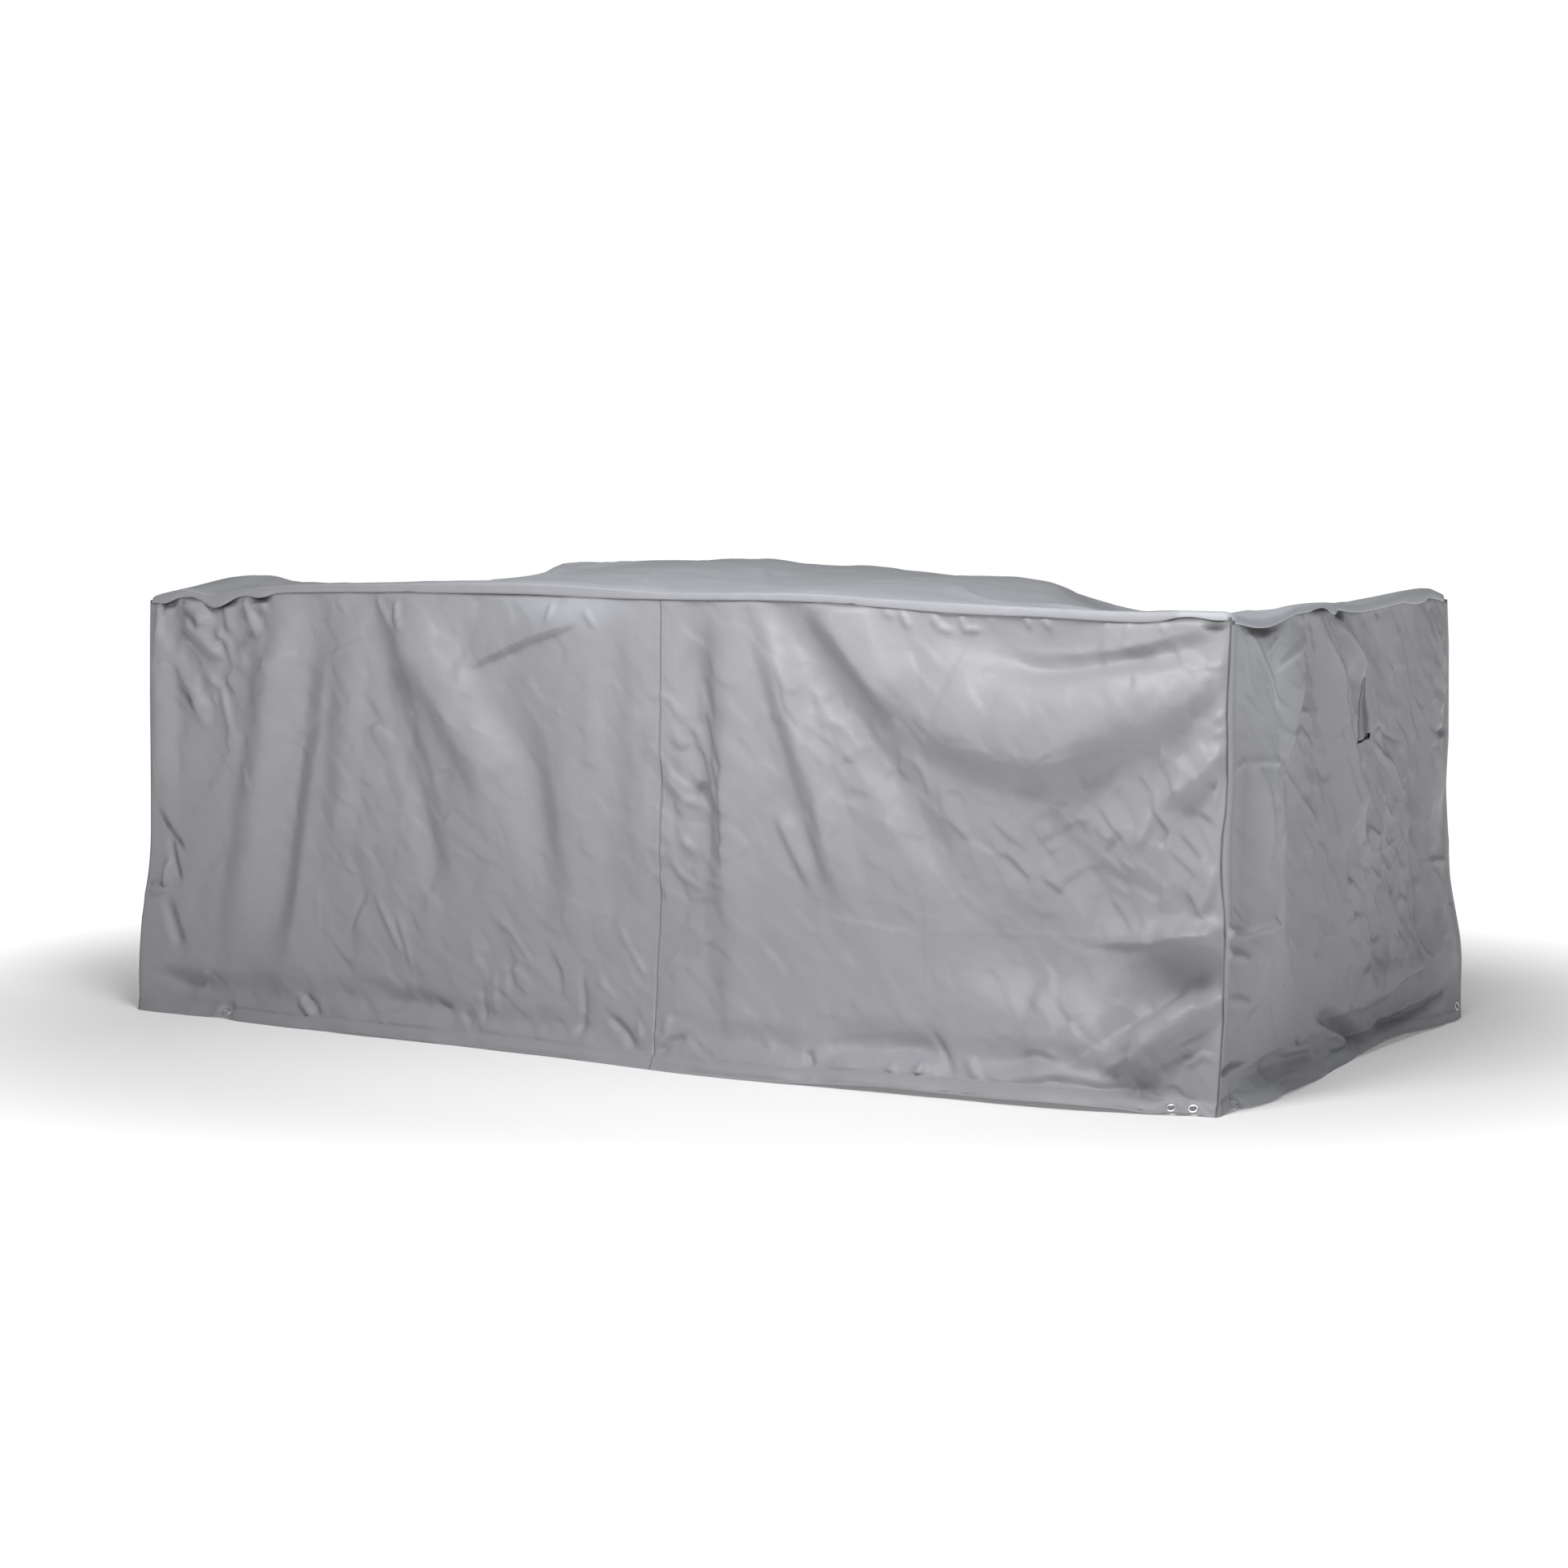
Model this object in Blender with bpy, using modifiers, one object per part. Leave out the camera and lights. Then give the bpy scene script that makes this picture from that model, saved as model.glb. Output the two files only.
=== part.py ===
"""Fitted cover for a garden table with its chairs around it.

Coated polyester cloth is cut as one loose top and seven wall pieces.  The top
turns down over the walls in a narrow lip and sags and bulges over what it
covers.  The walls hang from it in soft folds, and their hem kicks out where it
meets the ground.  Near the corners the hem holds metal eyelets for a cord, and
one wall has a hooded vent.

Sizes are in metres.  Heights in the tables are above the ground, x runs along
the front and back walls, and y along the side walls.  The whole cover hangs on
one empty that lowers it, so that the origin lies under the middle of its top,
where the cover rests on the furniture.
"""
import math
from bisect import bisect_right
from collections import namedtuple

import bmesh
import bpy
from mathutils import Matrix, Vector

# Driving dimensions
LENGTH = 2.470            # between the side walls, at the rim
DEPTH = 1.250             # between the front and back walls, at the rim
CORNER_RADIUS = 0.020     # of the upright corners
CLOTH = 0.0020            # thickness of the coated cloth, measured level
HOOD_CLOTH = 0.0012       # thickness of the vent's hood
SEAM = 0.0003             # between two pieces that are sewn together
SAME_PLACE = 0.00002      # points this close are one
CENTRE_SEAM = 0.042       # x of the upright seam in the front and back walls
KNEE = 0.300              # height below which a wall swings out to its foot
KNEE_POWER = 1.8          # how late the wall swings out: 1 is a straight slope
CORNER_REACH = 0.350      # how far along a wall a corner's kick is felt
FOLD_FADE = 0.040         # folds fade over this width at a corner and under the lip
CREST_Y = 0.150           # where the top's crest runs
END_REACH = 0.450         # width at each end in which the top follows the side rims

LONG_CELLS_LEFT = 17      # cells along a long wall, left and right of the centre seam
LONG_CELLS_RIGHT = 16
SHORT_CELLS = 16          # cells along a short wall
SLOPE_STEP = 0.004        # half the distance over which the cloth's slope is taken
SHOULDER = 0.460          # cell rows lie at level heights up to here, and share out the rest
LOW_ROWS = (0.075, 0.120, 0.170, 0.230, 0.300, 0.380)
FINE_SHARES = (0.0, 0.18, 0.36, 0.54, 0.70, 0.84, 0.93, 1.0)
PLAIN_SHARES = (0.35, 0.70, 1.0)

STRIP_CELLS = 2           # wall cells that a hem strip is long
LONG_STRIP_CELLS = 3
EYELET_CELL = 0.026       # width of the flat cell around an eyelet
EYELET_HOLE = 0.0068      # radius of the hole in the cloth
EYELET_SIDES = 12

VENT_Y = 0.085            # middle of the vent on the right wall
VENT_APEX = 0.747         # height of its apex
VENT_LENGTH = 0.115       # from the apex to the middle of its mouth
VENT_HALF_WIDTH = 0.046   # at the mouth
VENT_DEPTH = 0.026        # how far the mouth stands off the wall
VENT_SLANT = 0.012        # the mouth is this much lower at its front end
VENT_SINK = 0.40          # how much less the middle of the hood stands off than its two edges
SLOT_SIZE = (0.036, 0.036)    # width and height of the slot behind the hood
SLOT_HEIGHT = 0.672       # middle of the slot

GREY = (0.42, 0.425, 0.44, 1.0)
STEEL = (0.80, 0.80, 0.80, 1.0)

Side = namedtuple("Side", "along outward half_length distance corners")
SIDES = {
    "front": Side(Vector((1, 0, 0)), Vector((0, -1, 0)), LENGTH / 2, DEPTH / 2, ("front_left", "front_right")),
    "back": Side(Vector((1, 0, 0)), Vector((0, 1, 0)), LENGTH / 2, DEPTH / 2, ("back_left", "back_right")),
    "left": Side(Vector((0, 1, 0)), Vector((-1, 0, 0)), DEPTH / 2, LENGTH / 2, ("front_left", "back_left")),
    "right": Side(Vector((0, 1, 0)), Vector((1, 0, 0)), DEPTH / 2, LENGTH / 2, ("front_right", "back_right")),
}

# How a corner kicks outwards in x and y: at the hem's upper edge and at the
# hem itself.  The kick starts at one height and is full at a lower one.
Corner = namedtuple("Corner", "x_sign y_sign ankle_x ankle_y hem_x hem_y starts full")
CORNERS = {
    "front_left": Corner(-1, -1, 0.038, 0.012, 0.036, 0.024, 0.30, 0.05),
    "front_right": Corner(1, -1, -0.010, 0.020, -0.006, 0.040, 0.30, 0.05),
    "back_right": Corner(1, 1, 0.035, 0.035, 0.035, 0.035, 0.38, 0.12),
    "back_left": Corner(-1, 1, 0.030, 0.030, 0.040, 0.040, 0.34, 0.08),
}


def table(columns, *rows):
    """Rows of numbers under named columns."""
    Row = namedtuple("Row", columns)
    return [Row(*row) for row in rows]


# Height of the rim along each wall, and of the lip that the top turns down over the wall there.
RIM = {
    "front": table(
        "at height lip",
        (-1.235, 0.900, 0.018), (-1.180, 0.914, 0.018), (-1.100, 0.921, 0.018), (-1.062, 0.904, 0.016),
        (-1.000, 0.916, 0.016), (-0.880, 0.927, 0.016), (-0.560, 0.934, 0.018), (-0.280, 0.939, 0.026),
        (-0.070, 0.930, 0.020), (0.100, 0.921, 0.013), (0.330, 0.924, 0.015), (0.560, 0.914, 0.016),
        (0.890, 0.903, 0.018), (1.060, 0.899, 0.020), (1.190, 0.903, 0.014), (1.235, 0.900, 0.018)),
    "right": table(
        "at height lip",
        (-0.625, 0.900, 0.018), (-0.570, 0.888, 0.016), (-0.440, 0.886, 0.014), (-0.270, 0.904, 0.014),
        (-0.100, 0.905, 0.014), (0.040, 0.898, 0.016), (0.190, 0.906, 0.018), (0.360, 0.917, 0.020),
        (0.530, 0.921, 0.020), (0.600, 0.910, 0.018), (0.625, 0.900, 0.018)),
    "back": table(
        "at height lip",
        (-1.235, 0.900, 0.018), (-1.100, 0.912, 0.018), (-0.800, 0.925, 0.018), (-0.400, 0.930, 0.018),
        (0.000, 0.925, 0.018), (0.200, 0.915, 0.018), (0.350, 0.894, 0.018), (0.500, 0.862, 0.018),
        (0.650, 0.848, 0.018), (0.780, 0.846, 0.018), (0.900, 0.866, 0.018), (1.050, 0.882, 0.018),
        (1.160, 0.897, 0.018), (1.235, 0.900, 0.018)),
    "left": table(
        "at height lip",
        (-0.625, 0.900, 0.018), (-0.500, 0.915, 0.018), (-0.420, 0.928, 0.018), (-0.335, 0.938, 0.018),
        (-0.250, 0.933, 0.018), (-0.150, 0.914, 0.018), (0.000, 0.905, 0.018), (0.300, 0.908, 0.018),
        (0.625, 0.900, 0.018)),
}

# Height of the top along its crest.
CREST = table(
    "at height",
    (-1.235, 0.900), (-1.000, 0.915), (-0.800, 0.928), (-0.670, 0.943), (-0.550, 0.964), (-0.450, 0.970),
    (-0.140, 0.974), (0.000, 0.968), (0.100, 0.959), (0.220, 0.948), (0.290, 0.940), (0.350, 0.944),
    (0.430, 0.940), (0.510, 0.929), (0.620, 0.906), (0.730, 0.878), (0.900, 0.860), (1.050, 0.866),
    (1.235, 0.900))

# The foot of each wall: how far out the hem and its upper edge (the ankle)
# lie, how high the hem is lifted, and how high its upper edge is.
FOOT = {
    "front": table(
        "at hem ankle lift band",
        (-1.235, 0.000, 0.000, 0.000, 0.024), (-1.130, 0.003, -0.014, 0.012, 0.024),
        (-1.020, 0.022, -0.010, 0.000, 0.024), (-0.860, 0.043, 0.008, 0.000, 0.024),
        (-0.740, 0.056, 0.020, 0.004, 0.024), (-0.530, 0.058, 0.022, 0.000, 0.024),
        (-0.320, 0.074, 0.037, 0.004, 0.024), (-0.120, 0.085, 0.048, 0.000, 0.024),
        (0.100, 0.118, 0.080, 0.000, 0.024), (0.280, 0.126, 0.087, 0.000, 0.024),
        (0.450, 0.119, 0.081, 0.005, 0.024), (0.620, 0.112, 0.074, 0.012, 0.024),
        (0.790, 0.112, 0.073, 0.010, 0.024), (0.950, 0.101, 0.064, 0.012, 0.024),
        (1.068, 0.058, 0.026, 0.008, 0.024), (1.150, 0.036, 0.018, 0.000, 0.024),
        (1.210, 0.006, 0.000, 0.000, 0.024), (1.235, 0.000, 0.000, 0.000, 0.024)),
    "right": table(
        "at hem ankle lift band",
        (-0.625, 0.000, 0.000, 0.000, 0.024), (-0.550, 0.018, -0.008, 0.000, 0.024),
        (-0.455, 0.029, -0.004, 0.002, 0.024), (-0.350, 0.028, -0.008, 0.006, 0.024),
        (-0.200, 0.022, -0.012, 0.000, 0.024), (-0.050, 0.016, -0.012, 0.000, 0.024),
        (0.050, 0.012, -0.015, 0.004, 0.024), (0.180, 0.017, -0.015, 0.012, 0.024),
        (0.300, 0.025, -0.010, 0.014, 0.024), (0.380, 0.021, -0.008, 0.008, 0.030),
        (0.452, 0.018, -0.004, 0.004, 0.060), (0.560, 0.016, 0.002, 0.002, 0.060),
        (0.600, 0.004, 0.002, 0.002, 0.060), (0.625, 0.000, 0.000, 0.000, 0.060)),
    "back": table(
        "at hem ankle lift band",
        (-1.235, 0.000, 0.000, 0.000, 0.024), (-1.150, 0.014, -0.012, 0.000, 0.024),
        (-0.900, 0.030, -0.004, 0.000, 0.024), (-0.400, 0.052, 0.016, 0.004, 0.024),
        (0.000, 0.060, 0.024, 0.000, 0.024), (0.400, 0.056, 0.020, 0.000, 0.024),
        (0.800, 0.040, 0.005, 0.004, 0.024), (1.150, 0.016, -0.010, 0.000, 0.024),
        (1.235, 0.000, 0.000, 0.000, 0.024)),
    "left": table(
        "at hem ankle lift band",
        (-0.625, 0.000, 0.000, 0.000, 0.024), (-0.550, 0.016, -0.014, 0.000, 0.024),
        (-0.200, 0.040, 0.004, 0.000, 0.024), (0.200, 0.044, 0.008, 0.003, 0.024),
        (0.550, 0.012, -0.014, 0.000, 0.024), (0.625, 0.000, 0.000, 0.000, 0.024)),
}

# Soft folds of each wall.  A fold is a line from one place and height to
# another; it stands proud of the wall by its rise, or sinks where that is
# negative, and fades out at its half width.
FOLDS = {
    "front": table(
        "from_at from_height to_at to_height half_width rise",
        (-1.105, 0.860, -0.960, 0.660, 0.070, -0.012),    # fan from the upper left corner
        (-1.150, 0.760, -1.080, 0.420, 0.070, 0.008),
        (-0.865, 0.800, -0.895, 0.120, 0.110, 0.018),     # long ridge and its shaded flank
        (-0.765, 0.820, -0.800, 0.280, 0.080, -0.010),
        (-0.520, 0.850, -0.370, 0.440, 0.110, 0.015),
        (-0.370, 0.800, -0.250, 0.420, 0.080, -0.011),
        (-0.170, 0.860, -0.080, 0.480, 0.110, 0.010),
        (0.120, 0.840, 0.140, 0.450, 0.090, -0.012),      # trough beside the centre seam
        (0.230, 0.780, 0.270, 0.280, 0.100, 0.015),
        (0.310, 0.870, 0.560, 0.660, 0.080, -0.013),
        (0.750, 0.840, 0.930, 0.805, 0.070, -0.014),      # swag under the rim
        (0.930, 0.805, 1.070, 0.815, 0.070, -0.014),
        (1.070, 0.815, 1.190, 0.860, 0.060, -0.010),
        (0.640, 0.730, 0.890, 0.705, 0.120, 0.018),       # bulge below the swag
        (0.890, 0.705, 1.120, 0.740, 0.120, 0.018),
        (1.170, 0.820, 0.910, 0.600, 0.050, 0.006),
        (1.060, 0.325, 1.200, 0.335, 0.060, 0.014),       # buckle beside the corner
        (1.200, 0.205, 0.950, 0.095, 0.080, 0.022),       # roll that runs down from the corner
        (0.050, 0.300, 0.035, 0.060, 0.080, -0.008)),
    "right": table(
        "from_at from_height to_at to_height half_width rise",
        (-0.400, 0.820, -0.360, 0.200, 0.120, 0.014),
        (-0.210, 0.880, -0.130, 0.300, 0.080, -0.012),
        (0.020, 0.450, 0.000, 0.200, 0.120, 0.010),
        (0.350, 0.850, 0.330, 0.300, 0.100, -0.010),
        (0.500, 0.850, 0.540, 0.200, 0.070, 0.012),
        (0.020, 0.110, 0.560, 0.140, 0.070, 0.026),       # roll that overhangs the hem
        (-0.560, 0.330, -0.430, 0.318, 0.060, 0.012)),
    "back": table(
        "from_at from_height to_at to_height half_width rise",
        (-0.920, 0.800, -0.880, 0.180, 0.130, 0.014),
        (-0.480, 0.820, -0.420, 0.250, 0.120, -0.012),
        (-0.080, 0.800, -0.100, 0.250, 0.130, 0.014),
        (0.380, 0.780, 0.420, 0.250, 0.130, -0.012),
        (0.820, 0.760, 0.860, 0.180, 0.130, 0.014)),
    "left": table(
        "from_at from_height to_at to_height half_width rise",
        (-0.340, 0.820, -0.280, 0.200, 0.120, 0.014),
        (0.080, 0.820, 0.140, 0.250, 0.120, -0.012),
        (0.400, 0.820, 0.360, 0.200, 0.120, 0.012)),
}

# Folds of the top; places are x and y.
TOP_FOLDS = table(
    "from_at from_height to_at to_height half_width rise",
    (0.500, 0.150, 0.870, -0.460, 0.090, 0.010),
    (0.060, 0.080, 0.200, -0.350, 0.090, -0.008),
    (-0.700, 0.300, -0.950, -0.350, 0.100, 0.008))

EYELETS = table(
    "name side at strip",
    ("eyelet_1", "front", -1.020, "hem_strip_front_left"),
    ("eyelet_2", "front", 1.157, "hem_strip_front_right"),
    ("eyelet_3", "front", 1.195, "hem_strip_front_right"),
    ("eyelet_4", "right", -0.548, "hem_strip_right_front"),
    ("eyelet_5", "right", 0.580, "hem_strip_right_back"),
    ("eyelet_6", "back", 1.157, "hem_strip_back_right"),
    ("eyelet_7", "back", -1.157, "hem_strip_back_left"),
    ("eyelet_8", "left", 0.548, "hem_strip_left_back"),
    ("eyelet_9", "left", -0.548, "hem_strip_left_front"))


# ---------------------------------------------------------------- curves

def read(rows, column, at):
    """Value of a column between its rows, on a smooth curve that never overshoots them."""
    places = [row.at for row in rows]
    values = [getattr(row, column) for row in rows]
    if at <= places[0]:
        return values[0]
    if at >= places[-1]:
        return values[-1]

    def slope(k):
        if 0 <= k < len(rows) - 1:
            return (values[k + 1] - values[k]) / (places[k + 1] - places[k])
        return 0.0

    def tangent(k):
        before, after = slope(k - 1), slope(k)
        return 2 * before * after / (before + after) if before * after > 0 else 0.0

    k = bisect_right(places, at) - 1
    span = places[k + 1] - places[k]
    t = (at - places[k]) / span
    return ((1 + 2 * t) * (1 - t) ** 2 * values[k] + t * t * (3 - 2 * t) * values[k + 1]
            + t * (1 - t) ** 2 * span * tangent(k) - t * t * (1 - t) * span * tangent(k + 1))


def ease(value):
    """Smooth step from 0 to 1."""
    value = min(1.0, max(0.0, value))
    return value * value * (3 - 2 * value)


def spread(start, end, cells):
    return [start + (end - start) * k / cells for k in range(cells + 1)]


def relief(folds, at, height):
    """How far the folds together move the cloth outwards at one place."""
    place, total = Vector((at, height)), 0.0
    for fold in folds:
        start = Vector((fold.from_at, fold.from_height))
        line = Vector((fold.to_at, fold.to_height)) - start
        share = min(1.0, max(0.0, (place - start).dot(line) / line.length_squared))
        away = (place - start - line * share).length / fold.half_width
        if away < 1:
            total += fold.rise * (1 - away * away) ** 2
    return total


def cell_lines(half_length, cuts):
    """Places of the cell edges along a wall, with one narrow cell in each rounded corner."""
    inner = half_length - CORNER_RADIUS
    stops = [-inner] + [stop for stop, cells in cuts[:-1]] + [inner]
    lines = [-half_length]
    for start, end, (stop, cells) in zip(stops, stops[1:], cuts):
        lines += spread(start, end, cells)[:-1]
    return lines + [inner, half_length]


LONG_LINES = cell_lines(LENGTH / 2, [(CENTRE_SEAM, LONG_CELLS_LEFT), (None, LONG_CELLS_RIGHT)])
SHORT_LINES = cell_lines(DEPTH / 2, [(None, SHORT_CELLS)])
LINES = {"front": LONG_LINES, "back": LONG_LINES, "left": SHORT_LINES, "right": SHORT_LINES}


# ---------------------------------------------------------------- shape of the cover

def outline(side, at):
    """Point of the plain outline and its outward direction, rounded at the corners."""
    past = abs(at) - (side.half_length - CORNER_RADIUS)
    if past <= 0:
        return side.along * at + side.outward * side.distance, side.outward
    angle = math.pi / 4 * min(1.0, past / CORNER_RADIUS)
    toward = side.along * math.copysign(1, at)
    normal = side.outward * math.cos(angle) + toward * math.sin(angle)
    centre = toward * (side.half_length - CORNER_RADIUS) + side.outward * (side.distance - CORNER_RADIUS)
    return centre + normal * CORNER_RADIUS, normal


def corner_kick(side, at, height, hem_share):
    """How the kicks of a wall's two corners move the cloth at one place."""
    kick = Vector((0, 0, 0))
    for sign, name in zip((-1, 1), side.corners):
        corner = CORNERS[name]
        reach = 1 - ease((side.half_length - sign * at) / CORNER_REACH)
        share = reach * ease((corner.starts - height) / (corner.starts - corner.full))
        kick.x += corner.x_sign * share * (corner.ankle_x + (corner.hem_x - corner.ankle_x) * hem_share)
        kick.y += corner.y_sign * share * (corner.ankle_y + (corner.hem_y - corner.ankle_y) * hem_share)
    return kick


def wall_point(name, at, level):
    """Point of a wall.

    Level 0 is the hem, 1 its upper edge, 2 the shoulder and 3 the seam under
    the lip.  Between 1 and 2 the level gives the height itself, so that the
    rows of two walls meet at their corner.
    """
    side, foot = SIDES[name], FOOT[name]
    hem, ankle, lift, band = (read(foot, column, at) for column in ("hem", "ankle", "lift", "band"))
    seam_height = read(RIM[name], "height", at) - read(RIM[name], "lip", at) - SEAM
    if level < 1:
        height = lift + (band - lift) * level
        swing = hem + (ankle - hem) * level
    else:
        height = max(band, SHOULDER * (level - 1))
        if level > 2:
            height = SHOULDER + (seam_height - SHOULDER) * (level - 2)
        swing = ankle * max(0.0, (KNEE - height) / (KNEE - band)) ** KNEE_POWER
    inside = ease((side.half_length - CORNER_RADIUS - abs(at)) / FOLD_FADE)
    below_lip = ease((seam_height - height) / FOLD_FADE)
    fold = relief(FOLDS[name], at, height) * inside * below_lip
    base, _ = outline(side, at)
    point = base + side.outward * (swing + fold) + corner_kick(side, at, height, max(0.0, 1 - level))
    point.z = height
    return point


def wall_inward(name, at, level):
    """Level direction from the outer face of a wall to its inner face."""
    side = SIDES[name]
    if side.half_length - abs(at) < SEAM:
        return -outline(side, math.copysign(side.half_length, at))[1]
    step = min(SLOPE_STEP, side.half_length - abs(at))
    along = wall_point(name, at + step, level) - wall_point(name, at - step, level)
    inward = Vector((-along.y, along.x, 0)).normalized()
    return -inward if inward.dot(side.outward) > 0 else inward


def top_height(x, y):
    """Height of the top: sections over the crest, which follow the side rims at both ends."""
    def section(at):
        crest = read(CREST, "height", at)
        rim = read(RIM["front" if y < CREST_Y else "back"], "height", at)
        edge = -DEPTH / 2 if y < CREST_Y else DEPTH / 2
        return rim + (crest - rim) * math.sin(math.pi / 2 * (y - edge) / (CREST_Y - edge))

    height = section(x) + relief(TOP_FOLDS, x, y)
    for sign, name in ((-1, "left"), (1, "right")):
        reach = 1 - ease((LENGTH / 2 - sign * x) / END_REACH)
        height += reach * (read(RIM[name], "height", y) - section(sign * LENGTH / 2))
    return height


# ---------------------------------------------------------------- making sheets

def material(name, colour, roughness, metallic):
    result = bpy.data.materials.new(name)
    result.use_nodes = True
    shader = result.node_tree.nodes["Principled BSDF"]
    shader.inputs["Base Color"].default_value = colour
    shader.inputs["Roughness"].default_value = roughness
    shader.inputs["Metallic"].default_value = metallic
    return result


def add_object(name, mesh, collection, root):
    piece = bpy.data.objects.new(name, mesh)
    piece.parent = root
    collection.objects.link(piece)
    return piece


def sheet_mesh(name, columns, rows, place, keep=None, thickness=CLOTH):
    """Closed sheet on a lattice of cells.

    place(i, j) gives the outer point of a lattice corner and the direction to
    the inner face; keep(i, j) says whether a cell is cloth or left open.
    """
    mesh = bmesh.new()
    unit_square = Matrix.Translation((0.5, 0.5, 0))
    bmesh.ops.create_grid(mesh, x_segments=columns, y_segments=rows, size=0.5, matrix=unit_square)
    inward = mesh.verts.layers.float_vector.new("inward")
    bmesh.ops.scale(mesh, verts=mesh.verts, vec=(columns, rows, 1))
    if keep:
        cells = [face.calc_center_median() for face in mesh.faces]
        left_open = [face for face, cell in zip(mesh.faces, cells) if not keep(int(cell.x), int(cell.y))]
        bmesh.ops.delete(mesh, geom=left_open, context="FACES")
    for vertex in mesh.verts:
        vertex.co, vertex[inward] = place(round(vertex.co.x), round(vertex.co.y))
    bmesh.ops.remove_doubles(mesh, verts=mesh.verts, dist=SAME_PLACE)
    bmesh.ops.triangulate(mesh, faces=mesh.faces)
    shell = bmesh.ops.extrude_face_region(mesh, geom=mesh.faces[:], use_keep_orig=True)
    for vertex in shell["geom"]:
        if isinstance(vertex, bmesh.types.BMVert):
            vertex.co += vertex[inward] * thickness
    bmesh.ops.recalc_face_normals(mesh, faces=mesh.faces)
    result = bpy.data.meshes.new(name)
    mesh.to_mesh(result)
    mesh.free()
    return result


def wall_panel(wall, strips):
    """Wall cloth between two cell lines, without the stretches of hem that are strips of their own."""
    side, lines = SIDES[wall.side], LINES[wall.side]
    levels = [0, 1] + [1 + row / SHOULDER for row in LOW_ROWS] + [2 + share for share in wall.shares]
    spans = [strip_span(name, wall.side) for name, side_name in strips.items() if side_name == wall.side]

    def place(i, j):
        at = lines[wall.first + i]
        if i == 0 or wall.first + i == wall.last:
            corner = abs(abs(at) - side.half_length) < SEAM
            clear = SEAM / 2 / (math.pi / 4 if corner else 1)
            at += clear if i == 0 else -clear
        return wall_point(wall.side, at, levels[j]), wall_inward(wall.side, at, levels[j])

    def keep(i, j):
        return j > 0 or not any(start <= wall.first + i < end for start, end in spans)

    return sheet_mesh(wall.name, wall.last - wall.first, len(levels) - 1, place, keep)


def top_panel(name):
    """The top on one lattice: a field of cells with a flap of two rows along each side.

    The outermost line of the field and the two rows of a flap make the rounded
    edge and the lip.  Their drop is a share of the lip's height, and their
    tilt turns the cloth's thickness from level towards upright.
    """
    flap = 2
    columns, rows = len(LONG_LINES) - 1, len(SHORT_LINES) - 1
    edge = table("inset drop tilt", (0.006, 0.15, 55), (0.001, 0.50, 15), (0.000, 1.00, 0))

    def edge_point(side_name, at, row):
        base, outward = outline(SIDES[side_name], at)
        rim = RIM[side_name]
        height = read(rim, "height", at) - read(rim, "lip", at) * edge[row].drop
        tilt = math.radians(edge[row].tilt)
        point = base - outward * edge[row].inset + Vector((0, 0, height))
        return point, -outward * math.cos(tilt) - Vector((0, 0, math.sin(tilt)))

    def place(i, j):
        i, j = i - flap, j - flap
        x, y = LONG_LINES[min(max(i, 0), columns)], SHORT_LINES[min(max(j, 0), rows)]
        if j <= 0 or j >= rows:
            return edge_point("front" if j <= 0 else "back", x, max(-j, j - rows))
        if i <= 0 or i >= columns:
            return edge_point("left" if i <= 0 else "right", y, max(-i, i - columns))
        rise_x = top_height(x + SLOPE_STEP, y) - top_height(x - SLOPE_STEP, y)
        rise_y = top_height(x, y + SLOPE_STEP) - top_height(x, y - SLOPE_STEP)
        return Vector((x, y, top_height(x, y))), Vector((rise_x, rise_y, -2 * SLOPE_STEP)).normalized()

    def keep(i, j):
        return flap <= i < flap + columns or flap <= j < flap + rows

    return sheet_mesh(name, columns + 2 * flap, rows + 2 * flap, place, keep)


# ---------------------------------------------------------------- hem strips and eyelets

def strip_span(name, side_name):
    """Cell range of a hem strip: which lines of its wall it runs between."""
    lines = LINES[side_name]
    cells = 1 + (LONG_STRIP_CELLS if name == "hem_strip_front_left" else STRIP_CELLS)
    at_start = name.endswith("_left") if side_name in ("front", "back") else name.endswith("_front")
    return (0, cells) if at_start else (len(lines) - 1 - cells, len(lines) - 1)


def eyelet_seat(side_name, at):
    """Corners and inward direction of the flat cell that an eyelet sits in."""
    start, end = at - EYELET_CELL / 2, at + EYELET_CELL / 2
    foot_start = wall_point(side_name, start, 0)
    top_start, top_end = (wall_point(side_name, place, 1) for place in (start, end))
    inward = wall_inward(side_name, at, 0.5)
    return foot_start, foot_start + top_end - top_start, top_start, top_end, inward


def hem_strip(name, side_name, eyelets):
    """Strip of the hem with its eyelet cells kept flat."""
    side, lines = SIDES[side_name], LINES[side_name]
    first, last = strip_span(name, side_name)
    corner_clear, end_clear = SEAM / 2 / (math.pi / 4), SEAM
    seats = {}
    for eyelet in eyelets:
        foot_start, foot_end, top_start, top_end, inward = eyelet_seat(side_name, eyelet.at)
        seats[eyelet.at - EYELET_CELL / 2] = (foot_start, top_start, inward)
        seats[eyelet.at + EYELET_CELL / 2] = (foot_end, top_end, inward)
    ends = [lines[first] + (corner_clear if first == 0 else end_clear),
            lines[last] - (end_clear if first == 0 else corner_clear)]
    arc = math.copysign(side.half_length - CORNER_RADIUS, ends[0] + ends[1])
    places = sorted([arc] + ends + list(seats))

    def place(i, j):
        at = places[i]
        if at in seats:
            foot, top, inward = seats[at]
            point = Vector(top if j else foot)
        else:
            point, inward = wall_point(side_name, at, j), wall_inward(side_name, at, j)
        if j:
            point.z -= SEAM
        return point, inward

    return sheet_mesh(name, len(places) - 1, 1, place)


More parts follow.
